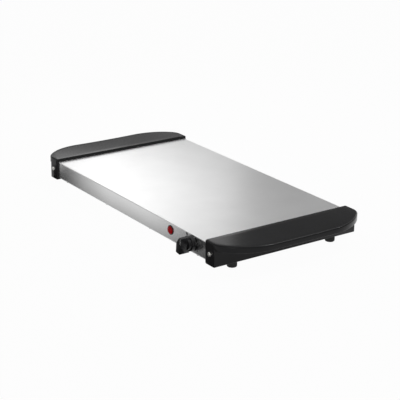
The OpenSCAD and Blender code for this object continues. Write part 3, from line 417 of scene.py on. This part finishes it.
block_out = 25.7 * MM
block_lap = 3 * MM
end_fold, end_fold_steps = 3.2 * MM, 8
outer_fold, outer_fold_steps = 1.2 * MM, 6
corner_share = 0.3
slot_y = 150.1 * MM
slot_floor = block_low + wall
plate_gap = 0.1 * MM
rib_half = 1 * MM
rib_pitch = 30 * MM
cell_margin = 6 * MM
cell_least = 4 * MM
cell_steps = 8
tool_past = 1 * MM


def turn(centre, radius, start, stop, steps):
    """Points along an arc."""
    angles = [start + (stop - start) * i / steps for i in range(steps + 1)]
    return [centre + radius * Vector((math.cos(a), math.sin(a))) for a in angles]


def rim_out(y, inset):
    """How far the outline reaches at a depth y."""
    y = abs(y)
    if y <= big_c.y:
        return reach - inset
    r = big_r - inset
    if y <= big_c.y + r * math.cos(corner_turn):
        return big_c.x + math.sqrt(r * r - (y - big_c.y) ** 2)
    r = corner_r - inset
    return corner_c.x + math.sqrt(max(0.0, r * r - (y - corner_c.y) ** 2))


def half_rim(inset):
    """The grip's outline on +Y, from its outermost point to its inner edge, drawn in by inset."""
    depths = [row_limit * i / (rows_n - 1) for i in range(rows_n)]
    bend = math.pi / 2 - corner_turn
    last = math.asin((row_limit - big_c.y) / (big_r - inset))
    outer = [Vector((rim_out(y, inset), y)) for y in depths]
    side = turn(big_c, big_r - inset, last, bend, side_steps)[1:]
    corner = turn(corner_c, corner_r - inset, bend, math.pi / 2, corner_steps)[1:]
    edge = half_depth - inset
    first = inner_share * inset
    soft_c = Vector((first + corner_soft, edge - corner_soft))
    end = [Vector((end_straight + (soft_c.x - end_straight) * i / end_steps, edge))
           for i in range(1, end_steps)]
    soft = turn(soft_c, corner_soft, math.pi / 2, math.pi, soft_steps)
    inner = [Vector((first, y)) for y in reversed(depths[1:])]
    return outer + side + corner + end + soft + inner


def rim(inset):
    """The whole outline, counter-clockwise seen from above."""
    half = half_rim(inset)
    return half + [Vector((inner_share * inset, 0))] + [Vector((p.x, -p.y)) for p in reversed(half[1:])]


def grip_top(point):
    """Height of the dished top: it falls outwards, less so towards the ends."""
    fall = max(0.0, outer_fall - end_lift * (point.y / dish_half) ** 2)
    return top_z - fall * max(0.0, point.x) / reach


def loft(bm, rings, lid=True):
    """Skins a stack of closed rings with quads and closes its bottom, and its top if asked."""
    rows = [[bm.verts.new(p) for p in ring] for ring in rings]
    count = len(rows[0])
    for low_row, high_row in zip(rows, rows[1:]):
        for i in range(count):
            j = (i + 1) % count
            bm.faces.new((low_row[i], low_row[j], high_row[j], high_row[i]))
    bm.faces.new(list(reversed(rows[0])))
    if lid:
        bm.faces.new(rows[-1])
    return rows[-1]


def finished(name, bm, material=None):
    """A new object at the origin from a bmesh, with its faces turned outwards."""
    bmesh.ops.remove_doubles(bm, verts=bm.verts, dist=1e-7)
    bmesh.ops.recalc_face_normals(bm, faces=bm.faces)
    mesh = bpy.data.meshes.new(name)
    bm.to_mesh(mesh)
    bm.free()
    if material:
        mesh.materials.append(material)
    made = bpy.data.objects.new(name, mesh)
    bpy.context.collection.objects.link(made)
    return made


def bake_modifiers(piece):
    """Replaces a piece's mesh by the result of its modifiers."""
    view = bpy.context.evaluated_depsgraph_get()
    mesh = bpy.data.meshes.new_from_object(piece.evaluated_get(view))
    piece.modifiers.clear()
    piece.data = mesh


def cut(piece, tool, operation="DIFFERENCE"):
    """Cuts a piece with a tool, or joins them, and deletes the tool."""
    step = piece.modifiers.new("cut", "BOOLEAN")
    step.operation = operation
    step.object = tool
    step.solver = "EXACT"
    bake_modifiers(piece)
    bpy.data.objects.remove(tool)
    return piece


def smooth(piece, angle):
    """Smooth shading, apart from edges sharper than an angle in degrees."""
    for face in piece.data.polygons:
        face.use_smooth = True
    bm = bmesh.new()
    bm.from_mesh(piece.data)
    for edge in bm.edges:
        edge.smooth = not edge.is_manifold or edge.calc_face_angle(0) < math.radians(angle)
    bm.to_mesh(piece.data)
    bm.free()
    return piece


def dished_lid(bm, ring):
    """Closes the grip with rows of quads across its top, and a flat piece at each end."""
    middle = len(ring) // 2
    last = rows_n - 1
    rows = []
    for row in range(-last, last + 1):
        outer, inner = ring[row], ring[middle - row]
        across = [outer.co.lerp(inner.co, k / columns_n) for k in range(1, columns_n)]
        rows.append([outer] + [bm.verts.new((p.x, p.y, grip_top(p))) for p in across] + [inner])
    for near, far in zip(rows, rows[1:]):
        for k in range(columns_n):
            bm.faces.new((near[k], far[k], far[k + 1], near[k + 1]))
    bm.faces.new(ring[last:middle - last + 1] + rows[-1][-2:0:-1])
    bm.faces.new(ring[middle + last:len(ring) - last + 1] + rows[0][1:-1])


def grip_slab():
    """The solid grip, with a small radius round its underside and a full one round its top."""
    rings = [[p.to_3d() + Vector((0, 0, under_z)) for p in rim(rim_r)]]
    for a in map(math.radians, rim_bends):
        z = under_z + rim_r * (1 - math.cos(a))
        rings.append([Vector((p.x, p.y, z)) for p in rim(rim_r * (1 - math.sin(a)))])
    for a in map(math.radians, edge_bends):
        drop = edge_r * (1 - math.sin(a))
        rings.append([Vector((p.x, p.y, grip_top(p) - drop)) for p in rim(edge_r * (1 - math.cos(a)))])
    bm = bmesh.new()
    dished_lid(bm, loft(bm, rings, lid=False))
    return finished("grip", bm)


def block_outline():
    """The block's section in X and Z, with its two bottom edges rounded."""
    inner = turn(Vector((end_fold, block_low + end_fold)), end_fold,
                 math.pi, 1.5 * math.pi, end_fold_steps)
    outer = turn(Vector((block_out - outer_fold, block_low + outer_fold)), outer_fold,
                 1.5 * math.pi, 2 * math.pi, outer_fold_steps)
    return inner + outer + [Vector((block_out, under_z + block_lap)), Vector((0, under_z + block_lap))]


def end_block():
    """The solid block under the grip, with its section drawn in a little at both ends."""
    middle = Vector((block_out / 2, (block_low + under_z) / 2))
    small = corner_soft * corner_share
    rings = []
    for y, inset in ((-half_depth, corner_soft), (-half_depth + small, small),
                     (-half_depth + corner_soft, 0), (half_depth - corner_soft, 0),
                     (half_depth - small, small), (half_depth, corner_soft)):
        rings.append([Vector((p.x + math.copysign(inset, middle.x - p.x), y,
                              p.y + (inset if p.y < middle.y else 0))) for p in block_outline()])
    bm = bmesh.new()
    loft(bm, rings)
    return finished("end_block", bm)


def box_tool(low, high):
    """A box between two corners."""
    bm = bmesh.new()
    bmesh.ops.create_cube(bm, size=1)
    for v in bm.verts:
        v.co = Vector([a + (b - a) * (c + 0.5) for a, b, c in zip(low, high, v.co)])
    return finished("tool", bm)


def pocket_cells():
    """The hollows between the ribs under the grip."""
    ceiling = top_z - outer_fall - wall
    limit = half_depth - wall - cell_margin
    count = int((half_depth - wall) / rib_pitch)
    bm = bmesh.new()
    for i in range(-count - 1, count + 1):
        y0 = max(i * rib_pitch + rib_half, -limit)
        y1 = min((i + 1) * rib_pitch - rib_half, limit)
        if y1 - y0 < cell_least:
            continue
        depths = [y0 + (y1 - y0) * k / cell_steps for k in range(cell_steps + 1)]
        outer = [Vector((max(rim_out(y, wall), block_out + tool_past), y)) for y in depths]
        section = [Vector((block_out, y0))] + outer + [Vector((block_out, y1))]
        loft(bm, [[Vector((p.x, p.y, z)) for p in section] for z in (under_z - tool_past, ceiling)])
    return finished("tool", bm)


def handle_moulding(name, side, material):
    """One handle, on the side of +X or mirrored to -X."""
    piece = cut(grip_slab(), end_block(), "UNION")
    cut(piece, box_tool((-tool_past, -slot_y, slot_floor), (block_out - wall, slot_y, plate_gap)))
    cut(piece, pocket_cells())
    bm = bmesh.new()
    bm.from_mesh(piece.data)
    for v in bm.verts:
        v.co.x = side * (v.co.x + inner_x)
    bpy.data.objects.remove(piece)
    made = smooth(finished(name, bm, material), angle=28)
    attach(made, "tray")
    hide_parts(name.replace("_moulding", ""))


moulding, tree, shader = new_finish("black_moulding", colour=(0.009, 0.009, 0.010), roughness=0.3,
                                    Specular_IOR_Level=0.20)
spark = grain(tree, 0.35 * MM, detail=2)
tint(tree, shader, grain(tree, 45 * MM, detail=2), dark=(0.008, 0.008, 0.009),
     light=(0.013, 0.013, 0.014))
polish(tree, shader, spark, low=0.17, high=0.22)
relief(tree, shader, spark, depth=0.004 * MM)
handle_moulding("right_handle_moulding", 1, moulding)
handle_moulding("left_handle_moulding", -1, moulding)


# ---------------------------------------------------------------- knob
# A glossy black moulding with a short round collar and a ridged grip bar across it, pushed onto
# the flat of the control shaft.
weld_gap = 2e-6
flat_angle = math.radians(1.5)
sharp_angle = math.radians(30)


def softened(name, source, radius, material, body):
    """A copy of a CAD node with its sharp edges rounded as the mould leaves them."""
    bm = bmesh.new()
    bm.from_mesh(nodes[source].data)
    bmesh.ops.remove_doubles(bm, verts=bm.verts, dist=weld_gap)
    bmesh.ops.dissolve_limit(bm, angle_limit=flat_angle, verts=bm.verts, edges=bm.edges)
    made = finished(name, bm, material)
    step = made.modifiers.new("edges", "BEVEL")
    step.width = radius
    step.segments = 3
    step.limit_method = "ANGLE"
    step.angle_limit = sharp_angle
    bake_modifiers(made)
    smooth(made, angle=35)
    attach(made, body)
    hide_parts(source)


knob_black, tree, shader = new_finish("knob_moulding", colour=(0.010, 0.010, 0.011),
                                      roughness=0.24, Specular_IOR_Level=0.35)
swirl = grain(tree, 6 * MM)
tint(tree, shader, swirl, dark=(0.009, 0.009, 0.010), light=(0.014, 0.014, 0.015))
polish(tree, shader, swirl, low=0.20, high=0.30)
relief(tree, shader, grain(tree, 0.5 * MM, detail=2), depth=0.006 * MM)
softened("knob_moulding", "knob", radius=0.45 * MM, material=knob_black,
         body="control_knob")


# ---------------------------------------------------------------- pilot light
# A domed lens of clear red plastic over a thin black gasket, held in the skirt by a nylon nut,
# with a neon lamp behind it in a plug.
def plain_finish(name, dark, light, size, rough, depth, metallic=0.0, stretch=(1, 1, 1),
                 kind="ShaderNodeTexNoise", **sockets):
    """A finish whose colour, roughness and relief all follow one noise."""
    made, tree, shader = new_finish(name, dark, rough[0], metallic, **sockets)
    pattern = grain(tree, size, stretch, kind=kind)
    tint(tree, shader, pattern, dark, light)
    polish(tree, shader, pattern, *rough)
    relief(tree, shader, pattern, depth)
    return made


red, tree, shader = new_finish("red_lens", colour=(0.30, 0.002, 0.006), roughness=0.16,
                               Specular_IOR_Level=0.15)
facets = grain(tree, 1.6 * MM, kind="ShaderNodeTexVoronoi")
tint(tree, shader, facets, dark=(0.20, 0.0005, 0.002), light=(0.50, 0.002, 0.006))
relief(tree, shader, facets, depth=0.05 * MM, strength=0.4)
softened("pilot_lens_cap", "pilot_lens", radius=0.3 * MM, material=red,
         body="tray")

rubber, tree, shader = new_finish("black_rubber", colour=(0.016, 0.016, 0.016), roughness=0.75)
crumb = grain(tree, 0.8 * MM, detail=4)
tint(tree, shader, crumb, dark=(0.010, 0.010, 0.010), light=(0.018, 0.018, 0.017))
relief(tree, shader, crumb, depth=0.02 * MM)
dress(rubber, "black_rubber", "pilot_gasket")

nylon = plain_finish("nylon", dark=(0.014, 0.014, 0.015), light=(0.022, 0.022, 0.023),
                     size=0.6 * MM, rough=(0.40, 0.55), depth=0.015 * MM)
dress(nylon, "black_moulding", "pilot_nut", "pilot_plug")
neon = plain_finish("neon_tube", dark=(0.92, 0.80, 0.66), light=(0.97, 0.86, 0.72), size=2 * MM,
                    rough=(0.02, 0.08), depth=0.002 * MM, Transmission_Weight=0.7)
dress(neon, "neon_glass", "pilot_bulb")


# ---------------------------------------------------------------- dial marks
# Two plain figures, printed in black on the skirt, show the ends of the knob's travel. The ink
# lies a hair above the steel.
figure_high = 4.2 * MM
figure_share = 0.7
figure_broad = 1.45
figure_bold = 0.5 * MM
ink_thick = 0.03 * MM
dial = Vector(next(j for j in frame["joints"] if j["name"] == "knob_turn")["pos_m"])


def dial_mark(name, figure, aside, rise, material):
    """A figure on the skirt, at its distance from the knob's axis."""
    words = bpy.data.curves.new(name, "FONT")
    words.body = figure
    words.size = figure_high / figure_share
    words.offset = figure_bold
    words.extrude = ink_thick
    words.align_x = "CENTER"
    words.align_y = "CENTER"
    drawn = bpy.data.objects.new(name, words)
    bpy.context.collection.objects.link(drawn)
    view = bpy.context.evaluated_depsgraph_get()
    bm = bmesh.new()
    bm.from_mesh(bpy.data.meshes.new_from_object(drawn.evaluated_get(view)))
    bpy.data.objects.remove(drawn)
    for v in bm.verts:
        v.co = Vector((dial.x + aside + figure_broad * v.co.x, dial.y - v.co.z, dial.z + rise + v.co.y))
    mark = finished(name, bm, material)
    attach(mark, "tray")


ink, tree, shader = new_finish("printed_ink", colour=(0.012, 0.012, 0.012), roughness=0.5)
speck = grain(tree, 0.3 * MM)
tint(tree, shader, speck, dark=(0.008, 0.008, 0.008), light=(0.020, 0.020, 0.020))
polish(tree, shader, speck, low=0.42, high=0.60)
dial_mark("low_mark", "0", aside=-15.8 * MM, rise=10.8 * MM, material=ink)
dial_mark("high_mark", "6", aside=15.8 * MM, rise=-12.2 * MM, material=ink)


# ---------------------------------------------------------------- screws
# Pan head screws of nickel-plated steel with a cross recess. Four hold the cheeks, four the feet
# and eight the base pan.
screw_d = 4 * MM
head_d = 8 * MM
head_high = 2.6 * MM
cheek_grip = 2.4 * MM
cheek_turn = math.radians(20)
small_screw_d = 3 * MM
small_head_d = 2 * small_screw_d
small_head_high = 0.6 * small_screw_d
recess_taper = 0.75
recess_ratio = 6
tip_in = 0.4 * MM
tip_high = 0.6 * MM
lathe_steps = 48
edge_steps = 8
axis_gap = 1e-9
foot_y = (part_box("front_left_foot")[0].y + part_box("front_left_foot")[1].y) / 2


def lathed(name, profile):
    """A solid of revolution about Z from a profile of radius and height, closed at the axis."""
    bm = bmesh.new()
    rings = []
    for radius, height in profile:
        if radius < axis_gap:
            rings.append([bm.verts.new((0, 0, height))])
        else:
            rings.append([bm.verts.new((radius * math.cos(a), radius * math.sin(a), height))
                          for a in (math.tau * i / lathe_steps for i in range(lathe_steps))])
    pairs = list(zip(rings, rings[1:]))
    if len(rings[0]) > 1:
        pairs.append((rings[-1], rings[0]))
    for first, second in pairs:
        for i in range(lathe_steps):
            j = (i + 1) % lathe_steps
            corners = [first[i % len(first)], first[j % len(first)],
                       second[j % len(second)], second[i % len(second)]]
            bm.faces.new(list(dict.fromkeys(corners)))
    return finished(name, bm)


def pan_screw(shank_d, wide, high, length, turned=0.0):
    """The head rises along +Z from 0 and the shank goes down."""
    r = high / 2
    dome = turn(Vector((wide / 2 - r, r)), r, 0, math.pi / 2, edge_steps)
    profile = [(0, -length), (shank_d / 2 - tip_in, -length), (shank_d / 2, tip_high - length),
               (shank_d / 2, 0), (wide / 2, 0)] + [tuple(p) for p in dome] + [(0, high)]
    screw = lathed("screw", profile)
    for quarter in (0, math.pi / 2):
        bm = bmesh.new()
        bmesh.ops.create_cube(bm, size=1)
        for v in bm.verts:
            narrow = 1 if v.co.z > 0 else recess_taper
            v.co = Vector((v.co.x * wide / 2 * narrow, v.co.y * wide / recess_ratio * narrow,
                           high / 2 + high * (v.co.z + 0.5)))
        bm.transform(Matrix.Rotation(quarter, 4, "Z"))
        cut(screw, finished("tool", bm))
    screw.data.transform(Matrix.Rotation(turned, 4, "Z"))
    return screw


def in_rows(name, pattern, material, replaced, length, depth, height, columns=2, tilt=0.0):
    """Sets a pattern at each point of a grid, and tilts it forwards in the front row, back behind."""
    tree = bpy.data.node_groups.new(name, "GeometryNodeTree")
    for label, kind in (("Pattern", "NodeSocketObject"), ("Columns", "NodeSocketInt"),
                        ("Length", "NodeSocketFloat"), ("Depth", "NodeSocketFloat"),
                        ("Height", "NodeSocketFloat"), ("Tilt", "NodeSocketFloat"),
                        ("Finish", "NodeSocketMaterial")):
        tree.interface.new_socket(label, in_out="INPUT", socket_type=kind)
    tree.interface.new_socket("Geometry", in_out="OUTPUT", socket_type="NodeSocketGeometry")
    given = add(tree, "NodeGroupInput")
    grid = add(tree, "GeometryNodeMeshGrid", Vertices_Y=2)
    offset = add(tree, "ShaderNodeCombineXYZ")
    lift = add(tree, "GeometryNodeSetPosition")
    copy = add(tree, "GeometryNodeObjectInfo")
    place = add(tree, "GeometryNodeInputPosition")
    axes = add(tree, "ShaderNodeSeparateXYZ")
    side = add(tree, "ShaderNodeMath", operation="SIGN")
    lean = add(tree, "ShaderNodeMath", operation="MULTIPLY")
    angle = add(tree, "ShaderNodeCombineXYZ")
    instances = add(tree, "GeometryNodeInstanceOnPoints")
    real = add(tree, "GeometryNodeRealizeInstances")
    paint = add(tree, "GeometryNodeSetMaterial")
    result = add(tree, "NodeGroupOutput")
    join(tree,
         (given.outputs["Columns"], grid.inputs["Vertices X"]),
         (given.outputs["Length"], grid.inputs["Size X"]),
         (given.outputs["Depth"], grid.inputs["Size Y"]),
         (given.outputs["Height"], offset.inputs["Z"]),
         (grid.outputs["Mesh"], lift.inputs["Geometry"]),
         (offset.outputs[0], lift.inputs["Offset"]),
         (given.outputs["Pattern"], copy.inputs["Object"]),
         (place.outputs[0], axes.inputs[0]),
         (axes.outputs["Y"], side.inputs[0]),
         (scaled(tree, side.outputs[0], -1), lean.inputs[0]),
         (given.outputs["Tilt"], lean.inputs[1]),
         (lean.outputs[0], angle.inputs["X"]),
         (lift.outputs["Geometry"], instances.inputs["Points"]),
         (copy.outputs["Geometry"], instances.inputs["Instance"]),
         (angle.outputs[0], instances.inputs["Rotation"]),
         (instances.outputs[0], real.inputs[0]),
         (real.outputs[0], paint.inputs["Geometry"]),
         (given.outputs["Finish"], paint.inputs["Material"]),
         (paint.outputs[0], result.inputs["Geometry"]))
    made = bpy.data.objects.new(name, bpy.data.meshes.new(name))
    bpy.context.collection.objects.link(made)
    step = made.modifiers.new("rows", "NODES")
    step.node_group = tree
    values = {"Pattern": pattern, "Columns": columns, "Length": length, "Depth": depth,
              "Height": height, "Tilt": tilt, "Finish": material}
    for item in tree.interface.items_tree:
        if item.in_out == "INPUT":
            step[item.identifier] = values[item.name]
    bake_modifiers(made)
    bpy.data.objects.remove(pattern)
    smooth(made, angle=38)
    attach(made, "tray")
    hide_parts(*replaced)


nickel, tree, shader = new_finish("nickel_plate", colour=(0.80, 0.79, 0.76), roughness=0.2,
                                  metallic=1.0)
scuff = grain(tree, 1.2 * MM, detail=4)
tint(tree, shader, scuff, dark=(0.70, 0.69, 0.66), light=(0.84, 0.83, 0.80))
polish(tree, shader, scuff, low=0.14, high=0.30)

low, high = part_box("handle_screws")
in_rows("cheek_screws",
        pan_screw(screw_d, head_d, head_high, high.y - half_depth + cheek_grip, cheek_turn),
        nickel, ("handle_screws",), length=high.x - low.x - head_d,
        depth=2 * (high.y - head_high), height=(low.z + high.z) / 2, tilt=math.pi / 2)
low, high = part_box("foot_screws")
in_rows("foot_fixings", pan_screw(screw_d, head_d, head_high, high.z - low.z - head_high),
        nickel, ("foot_screws",), length=high.x - low.x - head_d,
        depth=2 * foot_y, height=low.z + head_high, tilt=math.pi)
low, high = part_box("base_screws")
in_rows("pan_fixings",
        pan_screw(small_screw_d, small_head_d, small_head_high, high.z - low.z - small_head_high),
        nickel, ("base_screws",), length=high.x - low.x - small_head_d,
        depth=high.y - low.y - small_head_d, height=low.z + small_head_high, columns=4, tilt=math.pi)


# ---------------------------------------------------------------- feet
# Four round rubber feet, moulded with a rounded lower edge and a deep recess for the head of the
# screw that holds each under its handle.
foot_edge = 2 * MM
recess_r = 4.5 * MM
recess_high = 4 * MM
hole_r = 2.2 * MM
lip, lip_steps = 0.5 * MM, 4
low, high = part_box("front_right_foot")
foot_r = (high.x - low.x) / 2
foot_high = high.z - low.z
outer_edge = turn(Vector((foot_r - foot_edge, foot_edge)), foot_edge, -math.pi / 2, 0, edge_steps)
inner_edge = turn(Vector((recess_r + lip, lip)), lip, math.pi, 1.5 * math.pi, lip_steps)
profile = ([tuple(p) for p in outer_edge] + [(foot_r, foot_high - lip / 2), (foot_r - lip / 2, foot_high),
           (hole_r, foot_high), (hole_r, recess_high), (recess_r, recess_high)]
           + [tuple(p) for p in inner_edge])
in_rows("rubber_feet", lathed("foot", profile), rubber,
        ("front_left_foot", "rear_left_foot", "front_right_foot", "rear_right_foot"),
        length=low.x + high.x, depth=2 * abs(foot_y), height=low.z)


# ---------------------------------------------------------------- sheet parts
# The base pan closes the tray from below, the brackets close its ends, and the heat shield lies
# under the heater. All are pressed from zinc-coated sheet.
zinc = plain_finish("zinc_sheet", dark=(0.42, 0.44, 0.46), light=(0.60, 0.62, 0.64), size=7 * MM,
                    rough=(0.35, 0.55), depth=0.01 * MM, metallic=1.0, kind="ShaderNodeTexVoronoi")
dress(zinc, "galvanised_steel", "base_pan", "left_end_bracket", "right_end_bracket", "heat_shield")


# ---------------------------------------------------------------- heater
# A sheathed element lies against an aluminium spreader under the plate. Clamps on studs hold it,
# its ends leave through ceramic bushes, and a blanket of glass felt lies below it.
aluminium = plain_finish("rolled_aluminium", dark=(0.76, 0.77, 0.79), light=(0.86, 0.87, 0.88),
                         size=1 * MM, rough=(0.30, 0.48), depth=0.006 * MM, metallic=1.0,
                         stretch=(40, 1, 1))
heated = plain_finish("heated_tube", dark=(0.20, 0.19, 0.20), light=(0.38, 0.34, 0.32),
                      size=22 * MM, rough=(0.38, 0.60), depth=0.02 * MM, metallic=1.0)
ceramic = plain_finish("steatite", dark=(0.84, 0.80, 0.72), light=(0.93, 0.90, 0.83),
                       size=1.5 * MM, rough=(0.50, 0.70), depth=0.03 * MM)
felt = plain_finish("glass_felt", dark=(0.74, 0.71, 0.60), light=(0.92, 0.90, 0.82),
                    size=1.2 * MM, rough=(0.85, 1.0), depth=0.5 * MM, stretch=(4, 1, 1))
dress(aluminium, "spreader_aluminium", "heat_spreader")
dress(heated, "element_sheath", "heating_element")
dress(ceramic, "white_ceramic", "element_bushes")
dress(nickel, "nickel_plated", "element_pins", "clamp_nuts")
dress(zinc, "galvanised_steel", "clamp_studs", "element_clamps")
dress(felt, "fibre_blanket", "insulation_blanket")


# ---------------------------------------------------------------- thermostat
# A bimetal blade, a brass contact leaf and a terminal are riveted in a stack between ceramic
# rings. The plated shaft turns in a brass bushing and moves a ceramic pin against the leaf.
brass = plain_finish("brass", dark=(0.58, 0.43, 0.16), light=(0.78, 0.62, 0.30), size=4 * MM,
                     rough=(0.22, 0.42), depth=0.004 * MM, metallic=1.0)
bimetal = plain_finish("bimetal", dark=(0.50, 0.43, 0.34), light=(0.68, 0.60, 0.50), size=3 * MM,
                       rough=(0.30, 0.50), depth=0.004 * MM, metallic=1.0, stretch=(20, 1, 1))
dress(zinc, "galvanised_steel", "thermostat_bracket")
dress(nickel, "nickel_plated", "control_shaft", "knob_clip", "bushing_nut", "stack_rivet")
dress(brass, "brass_parts", "shaft_bushing", "leaf_terminal", "contact_leaf")
dress(bimetal, "bimetal_strip", "bimetal_blade")
dress(ceramic, "white_ceramic", "stack_rings", "push_pin")


# ---------------------------------------------------------------- supply
# A nylon gland in the rear skirt takes the supply cord, which isn't made. Behind it are a ceramic
# terminal block with brass inserts, a thermal fuse in its clip, and the earth stud.
dress(nylon, "black_moulding", "cord_gland", "gland_nut")
dress(ceramic, "white_ceramic", "terminal_block")
dress(brass, "brass_parts", "terminal_inserts", "earth_nut")
dress(nickel, "nickel_plated", "terminal_screws", "block_screws", "thermal_fuse", "earth_stud")
dress(zinc, "galvanised_steel", "fuse_clip")


# ---------------------------------------------------------------- wiring
# Leads with coloured covers run between the block, the fuse, the thermostat, the heater and the
# lamp. Brass tabs end them.
for lead_name, slot_name, dark, light in (
        ("live_lead", "brown_lead", (0.10, 0.035, 0.015), (0.17, 0.065, 0.03)),
        ("switched_lead", "black_lead", (0.012, 0.012, 0.014), (0.03, 0.03, 0.033)),
        ("fuse_lead", "black_lead", (0.012, 0.012, 0.014), (0.03, 0.03, 0.033)),
        ("neutral_lead", "blue_lead", (0.015, 0.045, 0.22), (0.03, 0.08, 0.34)),
        ("earth_lead", "green_lead", (0.06, 0.24, 0.03), (0.55, 0.52, 0.06)),
        ("lamp_leads", "pale_lead", (0.62, 0.60, 0.54), (0.78, 0.76, 0.70))):
    cover = plain_finish(lead_name + "_cover", dark, light, size=3 * MM, rough=(0.40, 0.60),
                         depth=0.02 * MM)
    dress(cover, slot_name, lead_name)
dress(brass, "brass_parts", "lead_tabs")
